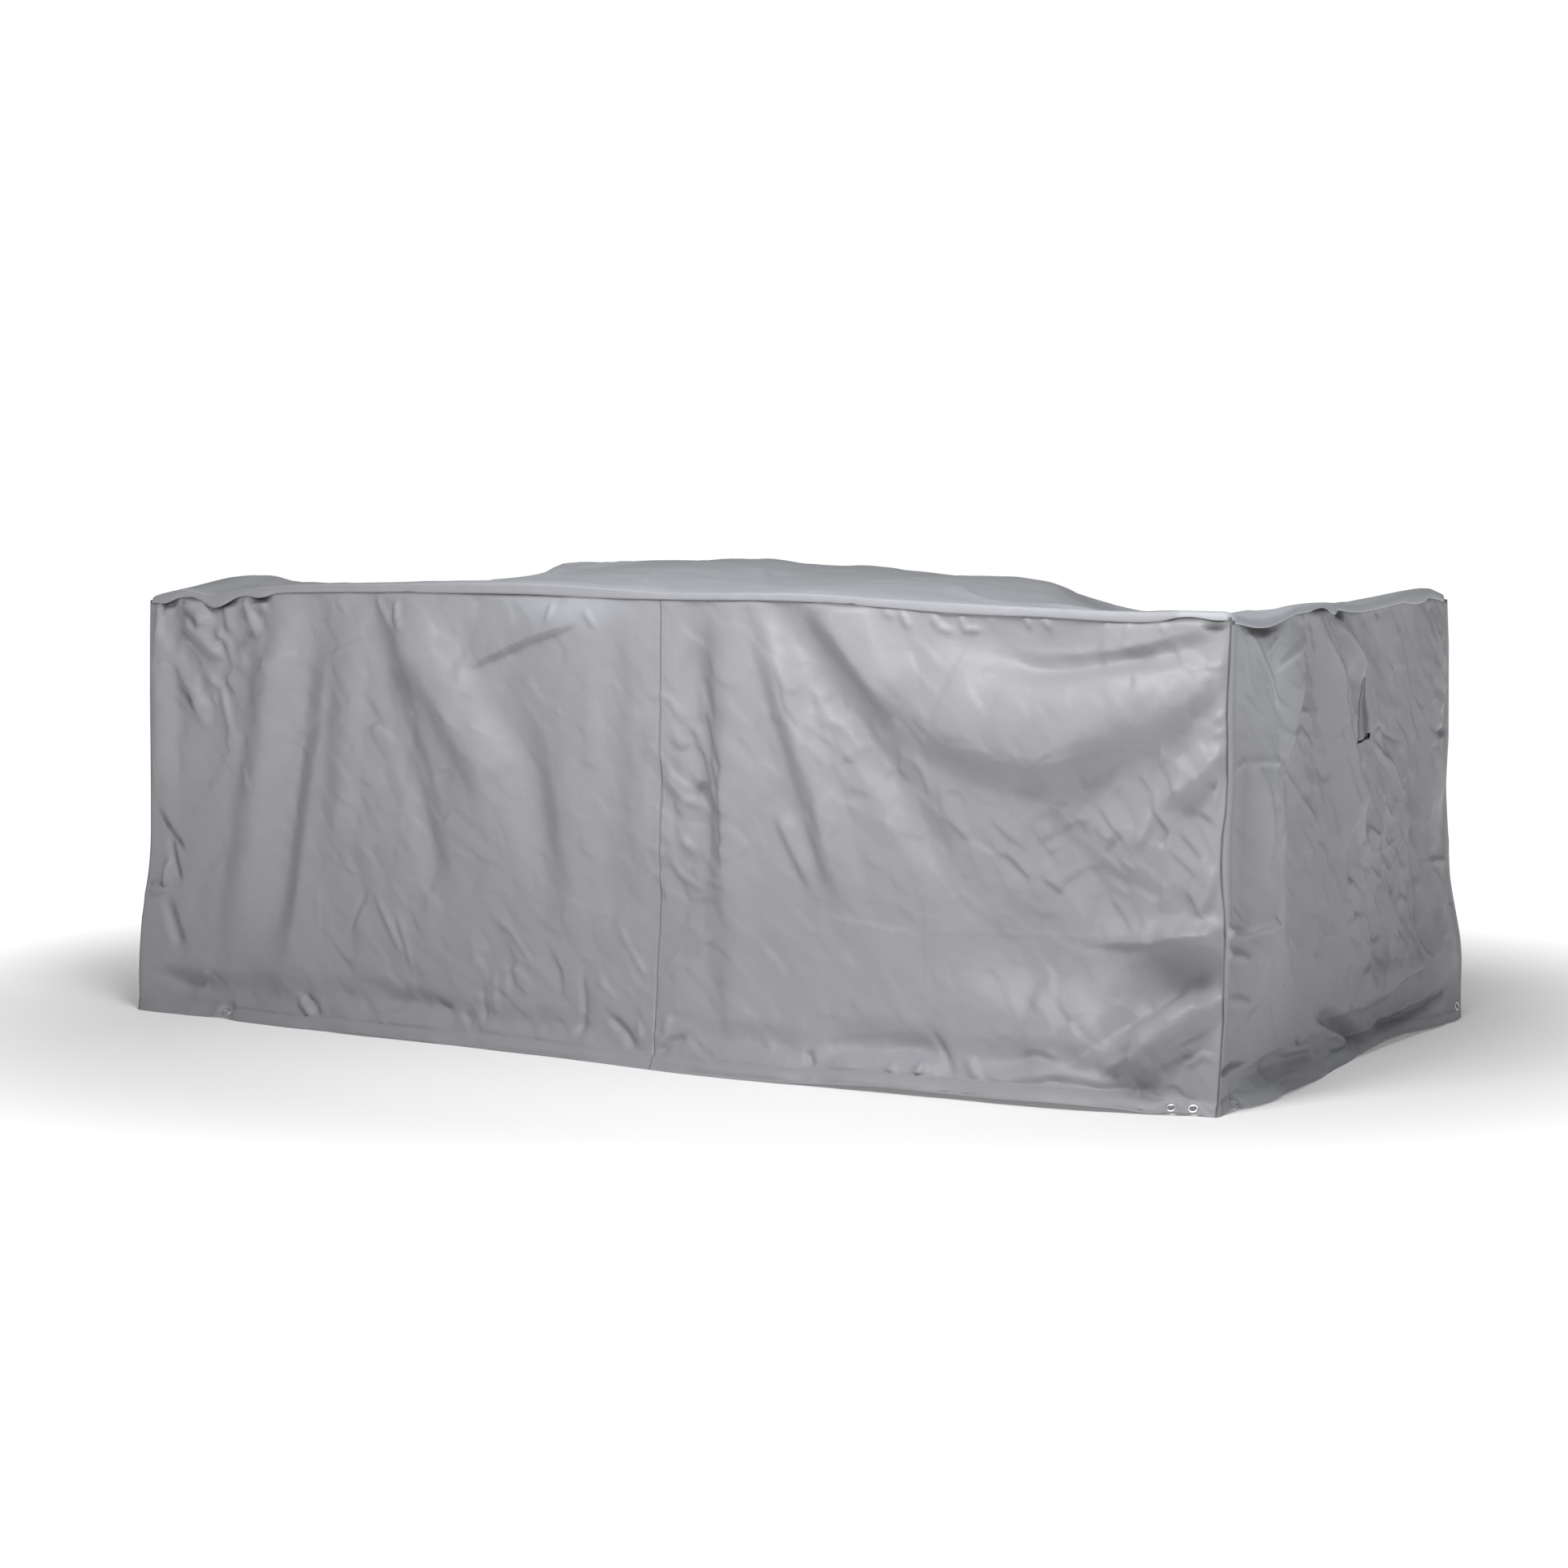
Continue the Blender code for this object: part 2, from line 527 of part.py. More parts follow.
def eyelet_frame(side_name, at):
    """Middle of an eyelet and the direction of its axis, out of the cloth."""
    foot_start, foot_end, top_start, top_end, inward = eyelet_seat(side_name, at)
    middle = (foot_start + foot_end + top_start + top_end) / 4 + inward * CLOTH / 2
    axis = (foot_end - foot_start).cross(top_start - foot_start).normalized()
    return middle, axis if axis.dot(inward) < 0 else -axis


def eyelet_profile(name):
    """Section of one eyelet: a barrel through the hole between two flanges."""
    bore, barrel, flange = 0.0058, 0.0062, 0.0100
    clear, rim = 0.0013, 0.0018
    points = [(flange, rim), (flange, clear), (barrel, clear), (barrel, -clear),
              (flange, -clear), (flange, -rim), (bore, -rim), (bore, rim)]
    profile = bpy.data.meshes.new(name)
    edges = [(k, (k + 1) % len(points)) for k in range(len(points))]
    profile.from_pydata([(radius, 0, height) for radius, height in points], edges, [])
    return profile


def fit_eyelet(eyelet, profile, strip, collections, root):
    """Cut the hole in the strip and set the eyelet in it."""
    middle, axis = eyelet_frame(eyelet.side, eyelet.at)
    turn = axis.to_track_quat("Z", "Y").to_euler()

    bpy.ops.mesh.primitive_cylinder_add(vertices=EYELET_SIDES, radius=EYELET_HOLE, depth=8 * CLOTH)
    cutter = bpy.context.object
    cutter.name = eyelet.name + "_hole"
    put_aside(cutter, collections["cutters"], root)
    cutter.location, cutter.rotation_euler = middle, turn
    cut(strip, cutter)

    ring = add_object(eyelet.name, profile, collections["cover"], root)
    ring.location, ring.rotation_euler = middle, turn
    screw = ring.modifiers.new("Turn", "SCREW")
    screw.axis = "Z"
    screw.steps = screw.render_steps = EYELET_SIDES
    screw.use_merge_vertices = True
    screw.merge_threshold = SAME_PLACE


def put_aside(cutter, collection, root):
    """Keep a cutter out of the picture, in the cutters' own collection."""
    for home in cutter.users_collection:
        home.objects.unlink(cutter)
    collection.objects.link(cutter)
    cutter.parent = root
    cutter.hide_render = True
    cutter.display_type = "WIRE"


def cut(piece, cutter):
    hole = piece.modifiers.new(cutter.name, "BOOLEAN")
    hole.operation = "DIFFERENCE"
    hole.solver = "EXACT"
    hole.object = cutter


# ---------------------------------------------------------------- vent

def vent_hood(name):
    """Hood over the vent: pointed at its apex, bowed out at its open mouth and sunk in its middle."""
    across, down = 8, 6
    blunt = 0.06

    def place(i, j):
        side, share = 2 * i / across - 1, 1 - j / down
        width = VENT_HALF_WIDTH * (blunt + (1 - blunt) * share)
        sink = 1 - VENT_SINK * (1 - side * side) ** 2
        bow = VENT_DEPTH * share ** 0.8 * max(0.0, 1 - side * side) ** 0.75 * sink
        height = VENT_APEX - share * (VENT_LENGTH - side * VENT_SLANT / 2)
        inward = Vector((-1, -side * share if abs(side) < 1 else 0, 0)).normalized()
        return Vector((LENGTH / 2 + SEAM + HOOD_CLOTH + bow, VENT_Y + side * width, height)), inward

    return sheet_mesh(name, across, down, place, thickness=HOOD_CLOTH)


def cut_slot(wall, collections, root):
    """Slot through the wall behind the hood."""
    bpy.ops.mesh.primitive_cube_add(size=1)
    cutter = bpy.context.object
    cutter.name = "vent_slot"
    cutter.data.transform(Matrix.Diagonal((20 * CLOTH, *SLOT_SIZE, 1)))
    put_aside(cutter, collections["cutters"], root)
    cutter.location = (LENGTH / 2, VENT_Y, SLOT_HEIGHT)
    cut(wall, cutter)


# ---------------------------------------------------------------- the cover

def main():
    for old in list(bpy.data.objects):
        bpy.data.objects.remove(old, do_unlink=True)

    collections = {}
    for key, title in (("cover", "furniture_cover"), ("cutters", "cutters")):
        collections[key] = bpy.data.collections.new(title)
        bpy.context.scene.collection.children.link(collections[key])

    root = bpy.data.objects.new("cover_root", None)
    root.location.z = CLOTH - top_height(0, 0)
    collections["cover"].objects.link(root)

    cloth = material("coated_cloth", GREY, 0.6, 0.0)
    strip_cloth = material("hem_cloth", GREY, 0.6, 0.0)
    steel = material("eyelet_steel", STEEL, 0.3, 1.0)

    strips = {row.strip: row.side for row in EYELETS}
    long_end, short_end = len(LONG_LINES) - 1, len(SHORT_LINES) - 1
    seam_line = 1 + LONG_CELLS_LEFT
    walls = table(
        "name side first last shares",
        ("front_panel_left", "front", 0, seam_line, FINE_SHARES),
        ("front_panel_right", "front", seam_line, long_end, FINE_SHARES),
        ("side_panel_right", "right", 0, short_end, FINE_SHARES),
        ("side_panel_left", "left", 0, short_end, PLAIN_SHARES),
        ("back_panel_left", "back", 0, seam_line, PLAIN_SHARES),
        ("back_panel_right", "back", seam_line, long_end, PLAIN_SHARES))
    meshes = {wall.name: wall_panel(wall, strips) for wall in walls}
    meshes["top_panel"] = top_panel("top_panel")
    meshes["vent_hood"] = vent_hood("vent_hood")
    pieces = {}
    for name, mesh in meshes.items():
        mesh.materials.append(cloth)
        pieces[name] = add_object(name, mesh, collections["cover"], root)
    cut_slot(pieces["side_panel_right"], collections, root)

    profile = eyelet_profile("eyelet")
    profile.materials.append(steel)
    for name, side_name in strips.items():
        held = [row for row in EYELETS if row.strip == name]
        mesh = hem_strip(name, side_name, held)
        mesh.materials.append(strip_cloth)
        strip = add_object(name, mesh, collections["cover"], root)
        for eyelet in held:
            fit_eyelet(eyelet, profile, strip, collections, root)


main()
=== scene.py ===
# Loose fitted cover of thin coated cloth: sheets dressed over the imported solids.
import math

import bmesh
import bpy
import numpy as np
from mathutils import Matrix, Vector
from mathutils.bvhtree import BVHTree


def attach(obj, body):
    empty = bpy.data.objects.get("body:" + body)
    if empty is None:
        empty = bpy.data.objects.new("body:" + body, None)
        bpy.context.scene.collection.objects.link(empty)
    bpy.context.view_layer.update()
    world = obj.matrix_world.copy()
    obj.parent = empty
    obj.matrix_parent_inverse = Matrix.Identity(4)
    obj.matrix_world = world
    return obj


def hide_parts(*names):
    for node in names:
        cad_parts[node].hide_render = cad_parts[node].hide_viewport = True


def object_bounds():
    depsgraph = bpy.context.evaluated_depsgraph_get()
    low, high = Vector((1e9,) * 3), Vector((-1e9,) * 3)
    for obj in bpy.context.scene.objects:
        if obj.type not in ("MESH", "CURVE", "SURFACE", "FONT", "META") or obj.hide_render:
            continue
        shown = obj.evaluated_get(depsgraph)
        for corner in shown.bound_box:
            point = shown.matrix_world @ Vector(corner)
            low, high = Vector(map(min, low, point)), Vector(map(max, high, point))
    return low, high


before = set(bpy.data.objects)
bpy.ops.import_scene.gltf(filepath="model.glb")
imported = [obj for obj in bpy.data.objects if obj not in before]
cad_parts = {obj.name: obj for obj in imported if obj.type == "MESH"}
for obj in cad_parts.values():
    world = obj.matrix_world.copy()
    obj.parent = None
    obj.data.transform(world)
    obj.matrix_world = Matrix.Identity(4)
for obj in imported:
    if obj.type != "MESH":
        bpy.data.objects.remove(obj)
cadLow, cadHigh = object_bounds()
ground = cadLow.z
millimetre = 0.001
print("frame loaded, ground at", round(ground, 4))


# which way each corner points
corners = {"frontLeft": (-1, -1), "frontRight": (1, -1), "backRight": (1, 1), "backLeft": (-1, 1)}

# the axis that each wall runs along, its side, its corners, its lattice's spacing and the solids it stands for
walls = {
    "front": {"along": 0, "side": -1, "ends": ("frontLeft", "frontRight"), "cell": 0.0053,
              "nodes": ["front_panel_left", "front_panel_right", "hem_strip_front_left", "hem_strip_front_right"]},
    "right": {"along": 1, "side": 1, "ends": ("frontRight", "backRight"), "cell": 0.005,
              "nodes": ["side_panel_right", "hem_strip_right_front", "hem_strip_right_back"]},
    "back": {"along": 0, "side": 1, "ends": ("backLeft", "backRight"), "cell": 0.0095,
             "nodes": ["back_panel_left", "back_panel_right", "hem_strip_back_left", "hem_strip_back_right"]},
    "left": {"along": 1, "side": -1, "ends": ("frontLeft", "backLeft"), "cell": 0.0095,
             "nodes": ["side_panel_left", "hem_strip_left_front", "hem_strip_left_back"]},
}

shape = {
    "fullHeight": 0.9,
    # heights of the rows in the foot, closest at the edge and at the hem's stitches
    "footRows": (0.0, 0.0015, 0.004, 0.0075, 0.0115, 0.0155, 0.018, 0.0195, 0.021, 0.0225, 0.024, 0.026,
                 0.029, 0.033, 0.0375, 0.0425, 0.0475),
    "softAlong": 0.026,       # how far the solids' facets are blurred, along and up
    "softUp": 0.02,
    "softEdge": 0.012,
    "seamTuck": 0.004,        # how far a wall's upper edge goes up behind the lip
    "start": 0.5,             # how far outside the cover the probing rays start
    "overHem": 0.0008,        # how far the rays stay inside the solids' lower and upper edges
    "underRim": 0.0012,
    "hemBand": 0.0165,        # the solids' points up to here give the hem line
    "rimBand": 0.0002,        # the top's points this close to its outer faces give the rim line
    "cornerHeights": (0.0012, 0.874, 0.006),      # where a corner is read: from, to, step
    "softCorner": 2.5,        # in steps of those heights
    "cornerReach": 0.34,      # how far along a wall its leaning corners pull the columns
    "cornerHeight": 0.8,      # where the columns are evenly spaced
    "diagonal": 0.7071,
}

# the sewn middle seam of the long walls: its place at the rim, then height and shift from there
centreSeam = {"place": 0.049, "reach": 0.25,
              "sway": {"front": ((0.0, 0.039), (0.03, 0.027), (0.1, 0.009), (0.2, -0.005), (0.3, -0.005),
                                 (0.45, -0.002), (0.9, 0.0)),
                       "back": ((0.0, 0.012), (0.2, 0.004), (0.9, 0.0))}}


def vertexArray(data):
    values = np.empty(len(data.vertices) * 3)
    data.vertices.foreach_get("co", values)
    return values.reshape(-1, 3)


def nodePoints(names):
    return np.vstack([vertexArray(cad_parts[name].data) for name in names])


def edgeEnds(names):
    starts, ends = [], []
    for name in names:
        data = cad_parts[name].data
        points = vertexArray(data)
        pairs = np.empty(len(data.edges) * 2, np.int32)
        data.edges.foreach_get("vertices", pairs)
        pairs = pairs.reshape(-1, 2)
        starts.append(points[pairs[:, 0]])
        ends.append(points[pairs[:, 1]])
    return np.vstack(starts), np.vstack(ends)


def searchTree(names):
    mesh = bmesh.new()
    for name in names:
        mesh.from_mesh(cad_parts[name].data)
    tree = BVHTree.FromBMesh(mesh)
    mesh.free()
    return tree


def blur(field, sigma, axis=0):
    # Gaussian blur along one axis, which keeps the values at both ends
    if sigma < 0.05:
        return field
    reach = int(3 * sigma) + 1
    weights = np.exp(-0.5 * (np.arange(-reach, reach + 1) / sigma) ** 2)
    weights /= weights.sum()
    pads = [(0, 0)] * field.ndim
    pads[axis] = (reach, reach)
    wide = np.pad(field, pads, mode="reflect", reflect_type="odd")
    length = field.shape[axis]
    total = np.zeros_like(field)
    for k, weight in enumerate(weights):
        total += weight * np.take(wide, range(k, k + length), axis)
    return total


def smoothStep(value):
    value = np.clip(value, 0.0, 1.0)
    return value * value * (3 - 2 * value)


def cornerLine(name, starts, ends):
    # x and y of an upright corner at many heights: the point that reaches furthest out
    signX, signY = corners[name]
    heights = np.arange(*shape["cornerHeights"])
    line = []
    for height in heights:
        z = ground + height
        crosses = (starts[:, 2] - z) * (ends[:, 2] - z) < 0
        low, high = starts[crosses], ends[crosses]
        share = (z - low[:, 2]) / (high[:, 2] - low[:, 2])
        points = low + (high - low) * share[:, None]
        line.append(points[np.argmax(signX * points[:, 0] + signY * points[:, 1]), :2])
    return heights, blur(np.array(line), shape["softCorner"])


allEdges = edgeEnds(sum((wall["nodes"] for wall in walls.values()), []))
cornerLines = {name: cornerLine(name, *allEdges) for name in corners}
topPoints = nodePoints(["top_panel"])
topTree = searchTree(["top_panel"])


# the solids' corners are rounded and the cloth's are sewn sharp: how far out they are pulled
cornerPull = {"frontLeft": (-0.0095, 0.001), "frontRight": (0.0055, -0.0055), "backRight": (0.006, 0.006),
              "backLeft": (-0.0055, 0.0055)}

# how the corners in view sway, as height and shift along the front
cornerSway = {
    "frontLeft": ((0.0, 0.0), (0.1, -0.008), (0.15, -0.016), (0.2, -0.024), (0.25, -0.026), (0.3, -0.02),
                  (0.36, -0.013), (0.5, -0.01), (0.7, -0.008), (0.82, -0.005), (0.9, -0.002)),
    "backRight": ((0.0, 0.0), (0.2, 0.004), (0.3, 0.009), (0.38, 0.015), (0.5, 0.007), (0.6, 0.011),
                  (0.68, 0.01), (0.8, 0.008), (0.9, 0.002)),
    "frontRight": ((0.0, 0.004), (0.1, 0.006), (0.17, 0.004), (0.22, -0.002), (0.27, -0.005), (0.32, -0.004),
                   (0.36, -0.006), (0.4, -0.011), (0.45, -0.014), (0.5, -0.012), (0.54, -0.006), (0.6, -0.003),
                   (0.68, -0.004), (0.73, -0.006), (0.8, -0.002), (0.9, 0.001)),
}


def cornerAt(name, height):
    heights, line = cornerLines[name]
    found = np.stack([np.interp(height, heights, line[:, axis]) for axis in (0, 1)], -1) + cornerPull[name]
    if name in cornerSway:
        found[..., 0] += np.interp(height, *np.array(cornerSway[name]).T)
    return found


def edgeLine(points, wall, places):
    # height of an edge of the solids at places along a wall
    order = np.argsort(points[:, wall["along"]])
    found = np.interp(places, points[order, wall["along"]], points[order, 2])
    return blur(found, shape["softEdge"] / wall["cell"])


def readWall(name):
    # the wall's outer face on a fine lattice: columns along it, rows from the hem to the rim
    wall = walls[name]
    along, across, side = wall["along"], 1 - wall["along"], wall["side"]
    tree, points = searchTree(wall["nodes"]), nodePoints(wall["nodes"])
    low = cornerAt(wall["ends"][0], shape["cornerHeight"])[along]
    high = cornerAt(wall["ends"][1], shape["cornerHeight"])[along]
    columns = round((high - low) / wall["cell"])
    share = np.linspace(0, 1, columns + 1)
    places = low + (high - low) * share
    hem = edgeLine(points[points[:, 2] < ground + shape["hemBand"]], wall, places) - ground
    distance = np.abs(topPoints[:, across] - side * np.max(np.abs(topPoints[:, across])))
    rim = edgeLine(topPoints[distance < shape["rimBand"]], wall, places) - ground
    foot = shape["footRows"]
    rows = round((shape["fullHeight"] - foot[-1]) / wall["cell"])
    levels = np.concatenate([foot[:-1], np.linspace(foot[-1], shape["fullHeight"], rows + 1)]) / shape["fullHeight"]
    height = hem[:, None] + (rim + shape["seamTuck"] - hem)[:, None] * levels[None, :]
    ends = [cornerAt(end, height) for end in wall["ends"]]
    lattice = np.empty(height.shape + (3,))
    lattice[..., along] = places[:, None]
    for end, edge in zip(ends, (low, high)):
        pull = 1 - smoothStep(np.abs(places - edge) / shape["cornerReach"])
        lattice[..., along] += (end[..., along] - edge) * pull[:, None]
    if along == 0:
        pull = np.exp(-((places - centreSeam["place"]) / centreSeam["reach"]) ** 2)
        sway = np.array(centreSeam["sway"][name])
        lattice[..., 0] += np.interp(levels * shape["fullHeight"], *sway.T)[None, :] * pull[:, None]
    lattice[..., 2] = height + ground
    inward = Vector((0, 0, 0))
    inward[across] = -side
    lowest, highest = ground + hem + shape["overHem"], ground + rim - shape["underRim"]
    reach = np.full(height.shape, np.nan)
    for i in range(1, columns):
        for j in range(len(levels)):
            origin = Vector(lattice[i, j, :].tolist())
            origin[across] = side * (cadHigh[across] + shape["start"])
            origin.z = min(max(origin.z, lowest[i]), highest[i])
            hit = tree.ray_cast(origin, inward)[0]
            if hit:
                reach[i, j] = hit[across]
    reach[0], reach[-1] = ends[0][0, :, across], ends[1][-1, :, across]
    for j in range(len(levels)):
        known = ~np.isnan(reach[:, j])
        reach[:, j] = np.interp(share, share[known], reach[known, j])
    reach = blur(blur(reach, shape["softAlong"] / wall["cell"], 0), shape["softUp"] / wall["cell"], 1)
    lattice[..., across] = reach
    place = lattice[..., along]
    return {"points": lattice, "place": place, "height": height, "rim": rim, "hem": hem,
            "flip": (side > 0) == (along == 0), "fromEnd": np.minimum(place - place[0], place[-1] - place),
            "belowRim": rim[:, None] + shape["seamTuck"] - height}


surfaces = {name: readWall(name) for name in walls}
print("walls read:", {name: surface["height"].shape for name, surface in surfaces.items()})


def latticeNormals(points, flip):
    du, dv = np.gradient(points, axis=0), np.gradient(points, axis=1)
    normals = np.cross(du, dv)
    normals /= np.linalg.norm(normals, axis=-1, keepdims=True) + 1e-12
    return -normals if flip else normals


# for every fold: the share of its path over which each end fades, what is left of it there, and how
# sharp a pointed crest is
foldShape = {"fade": 0.25, "end": 0.2, "point": 1.6}


def foldField(place, height, folds):
    # Sum of folds. A fold is a path of (place, height) in metres, then in millimetres a half width on
    # the left and on the right of its direction and a rise, and how pointed its crest is from 0 to 1.
    total = np.zeros_like(place)
    for path, leftWidth, rightWidth, rise, peak in folds:
        widest = max(leftWidth, rightWidth) * millimetre
        path = np.array(path, float)
        low, high = path.min(0) - widest, path.max(0) + widest
        near = (place > low[0]) & (place < high[0]) & (height > low[1]) & (height < high[1])
        if not near.any():
            continue
        spots = np.stack([place[near], height[near]], -1)
        lengths = np.linalg.norm(np.diff(path, axis=0), axis=1)
        travelled, full = 0.0, lengths.sum()
        best = np.full(len(spots), np.inf)
        sideways, progress = np.zeros(len(spots)), np.zeros(len(spots))
        for start, end, length in zip(path, path[1:], lengths):
            step = (end - start) / length
            offset = spots - start
            run = np.clip(offset @ step, 0, length)
            away = np.linalg.norm(offset - run[:, None] * step, axis=1)
            closer = away < best
            best = np.where(closer, away, best)
            cross = step[0] * offset[:, 1] - step[1] * offset[:, 0]
            sideways = np.where(closer, cross, sideways)
            progress = np.where(closer, (travelled + run) / full, progress)
            travelled += length
        width = np.where(sideways > 0, leftWidth, rightWidth) * millimetre
        share = np.clip(best / width, 0, 1)
        soft = (1 - share ** 2) ** 2
        sharp = (1 - share) ** foldShape["point"]
        taper = smoothStep(np.minimum(progress, 1 - progress) / foldShape["fade"])
        taper = taper * (1 - foldShape["end"]) + foldShape["end"]
        total[near] += rise * millimetre * taper * ((1 - peak) * soft + peak * sharp)
    return total


# the strongest that patches add up to, how many facets repeat, and how far each is moved and lifted
crumpleShape = {"most": 1.4, "facets": 64, "scatter": 0.45, "lift": 0.25}


def patchMask(place, height, patches, base=0.0):
    # soft patches: place, height, reach along, reach up, strength
    total = np.full_like(place, base)
    for atPlace, atHeight, reachAlong, reachUp, strength in patches:
        total += strength * np.exp(-((place - atPlace) / reachAlong) ** 2 - ((height - atHeight) / reachUp) ** 2)
    return np.clip(total, 0, crumpleShape["most"])


def crumpleField(place, height, settings):
    # creased facets: scattered flat pieces, each tilted its own way, blended over narrow borders
    random = np.random.default_rng(settings["seed"])
    size, scatter = crumpleShape["facets"], crumpleShape["scatter"]
    facets = random.uniform(-1, 1, (size, size, 5))
    turn = math.radians(settings["turn"])
    along = (place * math.cos(turn) + height * math.sin(turn)) / (settings["cell"] * settings["stretch"])
    across = (height * math.cos(turn) - place * math.sin(turn)) / settings["cell"]
    cellAlong, cellAcross = np.floor(along).astype(int), np.floor(across).astype(int)
    total, weights = np.zeros_like(place), np.zeros_like(place)
    for i in (-1, 0, 1):
        for j in (-1, 0, 1):
            facet = facets[(cellAlong + i) % size, (cellAcross + j) % size]
            offAlong = along - (cellAlong + i + 0.5 + scatter * facet[..., 0])
            offAcross = across - (cellAcross + j + 0.5 + scatter * facet[..., 1])
            weight = np.exp(-settings["crisp"] * (offAlong ** 2 + offAcross ** 2))
            level = facet[..., 2] * offAlong + facet[..., 3] * offAcross + crumpleShape["lift"] * facet[..., 4]
            total += weight * level
            weights += weight
    mask = patchMask(place, height, settings["patches"], settings["base"])
    return settings["rise"] * total / (weights + 1e-9) * mask


def softNoise(shapeOf, cells, seed):
    # smooth random field from -1 to 1, with features about that many cells across
    random = np.random.default_rng(seed)
    field = random.normal(size=shapeOf)
    for axis, width in enumerate(cells):
        field = blur(field, width, axis)
    return field / (np.abs(field).max() + 1e-9)


# The folds, as foldField reads them: path, half widths, rise, point.
cornerFan = [      # upper left of the front wall, out of the corner
    ([(-1.14, 0.905), (-1.095, 0.865), (-1.065, 0.83)], 35, 22, 22.9, 0.3),
    ([(-1.145, 0.86), (-1.1, 0.825), (-1.055, 0.787), (-1.018, 0.765)], 28, 20, 26.1, 0.4),
    ([(-1.05, 0.84), (-1.02, 0.8), (-1.0, 0.77)], 14, 14, 13.1, 0.4),
    ([(-0.975, 0.905), (-0.96, 0.86), (-0.945, 0.815)], 22, 13, 16.2, 0.4),
    ([(-0.96, 0.884), (-0.935, 0.884), (-0.912, 0.876)], 14, 14, 13.1, 0.4),
    ([(-1.182, 0.79), (-1.15, 0.74), (-1.11, 0.68), (-1.08, 0.62)], 30, 16, 16.2, 0.3),
    ([(-1.2, 0.686), (-1.17, 0.685), (-1.12, 0.655), (-1.09, 0.625)], 9, 10, 5.2, 0.6),
    ([(-1.095, 0.745), (-1.042, 0.705), (-1.03, 0.66), (-1.005, 0.6)], 14, 14, 9.8, 0.4),
    ([(-0.985, 0.54), (-0.958, 0.503)], 11, 11, 6.5, 0.5),
    ([(-1.205, 0.895), (-1.2, 0.85), (-1.195, 0.8)], 12, 12, 13.1, 0.3),
    ([(-1.174, 0.9), (-1.187, 0.858)], 11, 11, 9.8, 0.4),
    ([(-1.03, 0.895), (-1.01, 0.82)], 24, 16, 9.8, 0.2),
    ([(-1.203, 0.885), (-1.2, 0.7), (-1.203, 0.44)], 44, 34, 24.2, 0.1),
    # the pinch above the left foot
    ([(-1.225, 0.452), (-1.197, 0.405), (-1.15, 0.35)], 12, 14, -13.1, 0.4),
    ([(-1.193, 0.385), (-1.181, 0.335), (-1.165, 0.28)], 12, 12, -13.1, 0.4),
    ([(-1.194, 0.33), (-1.202, 0.268)], 12, 14, 16.2, 0.6),
    ([(-1.243, 0.277), (-1.222, 0.27), (-1.204, 0.261)], 10, 16, 13.1, 0.6),
    ([(-1.207, 0.25), (-1.187, 0.195), (-1.165, 0.14)], 26, 22, -16.2, 0.1),
]

longFolds = [      # the broad folds that hang down the front wall
    ([(-0.885, 0.9), (-0.93, 0.6), (-0.99, 0.3), (-1.03, 0.1)], 70, 60, 16.8, 0.1),
    ([(-0.8, 0.88), (-0.848, 0.6), (-0.9, 0.3), (-0.945, 0.1)], 62, 80, -33.6, 0.1),
    ([(-0.7, 0.895), (-0.715, 0.6), (-0.74, 0.33)], 50, 60, 11.2, 0.1),
    ([(-0.64, 0.895), (-0.59, 0.7), (-0.52, 0.44), (-0.47, 0.25)], 56, 46, -19, 0.2),
    ([(-0.6, 0.905), (-0.53, 0.77), (-0.45, 0.68), (-0.372, 0.56), (-0.345, 0.46)], 110, 60, 29.1, 0.1),
    ([(-0.3, 0.7), (-0.24, 0.5), (-0.19, 0.25)], 60, 70, -11.2, 0.0),
    ([(-0.185, 0.6), (-0.175, 0.4), (-0.165, 0.2)], 70, 60, 10.1, 0.0),
    ([(-0.07, 0.86), (-0.06, 0.5), (-0.05, 0.2)], 60, 60, -9, 0.0),
    ([(0.125, 0.89), (0.13, 0.65), (0.15, 0.4)], 60, 44, -16.8, 0.1),
    ([(0.2, 0.88), (0.203, 0.6), (0.206, 0.36), (0.212, 0.1)], 70, 60, 15.7, 0.2),
    ([(0.2, 0.64), (0.203, 0.52), (0.206, 0.36)], 40, 14, 7.8, 0.5),
    ([(0.268, 0.905), (0.308, 0.8), (0.346, 0.69), (0.41, 0.52), (0.47, 0.3)], 54, 50, 26.9, 0.2),
    ([(0.315, 0.905), (0.385, 0.82), (0.48, 0.69), (0.58, 0.54), (0.7, 0.35)], 80, 50, -24.6, 0.1),
    ([(0.385, 0.915), (0.455, 0.84), (0.52, 0.77), (0.6, 0.705)], 100, 56, 29.1, 0.2),
    ([(0.56, 0.735), (0.66, 0.69), (0.77, 0.655), (0.87, 0.64), (0.98, 0.69), (1.1, 0.755), (1.205, 0.815)],
     180, 84, 44.8, 0.1),
    ([(0.78, 0.8), (0.87, 0.79), (0.95, 0.792), (1.05, 0.808), (1.15, 0.832), (1.23, 0.855)], 30, 44, -22.4, 0.3),
    ([(0.31, 0.505), (0.35, 0.43), (0.392, 0.355)], 40, 18, 12.3, 0.4),
    ([(0.44, 0.7), (0.48, 0.65), (0.505, 0.612)], 30, 22, 9, 0.3),
    ([(0.86, 0.56), (0.96, 0.42), (1.06, 0.33)], 70, 90, -13.4, 0.1),
    ([(0.66, 0.28), (0.9, 0.25), (1.1, 0.26), (1.225, 0.27)], 300, 120, -29.1, 0.0),
    ([(0.98, 0.105), (1.05, 0.16), (1.12, 0.215), (1.234, 0.235)], 95, 36, -42.6, 0.2),
]

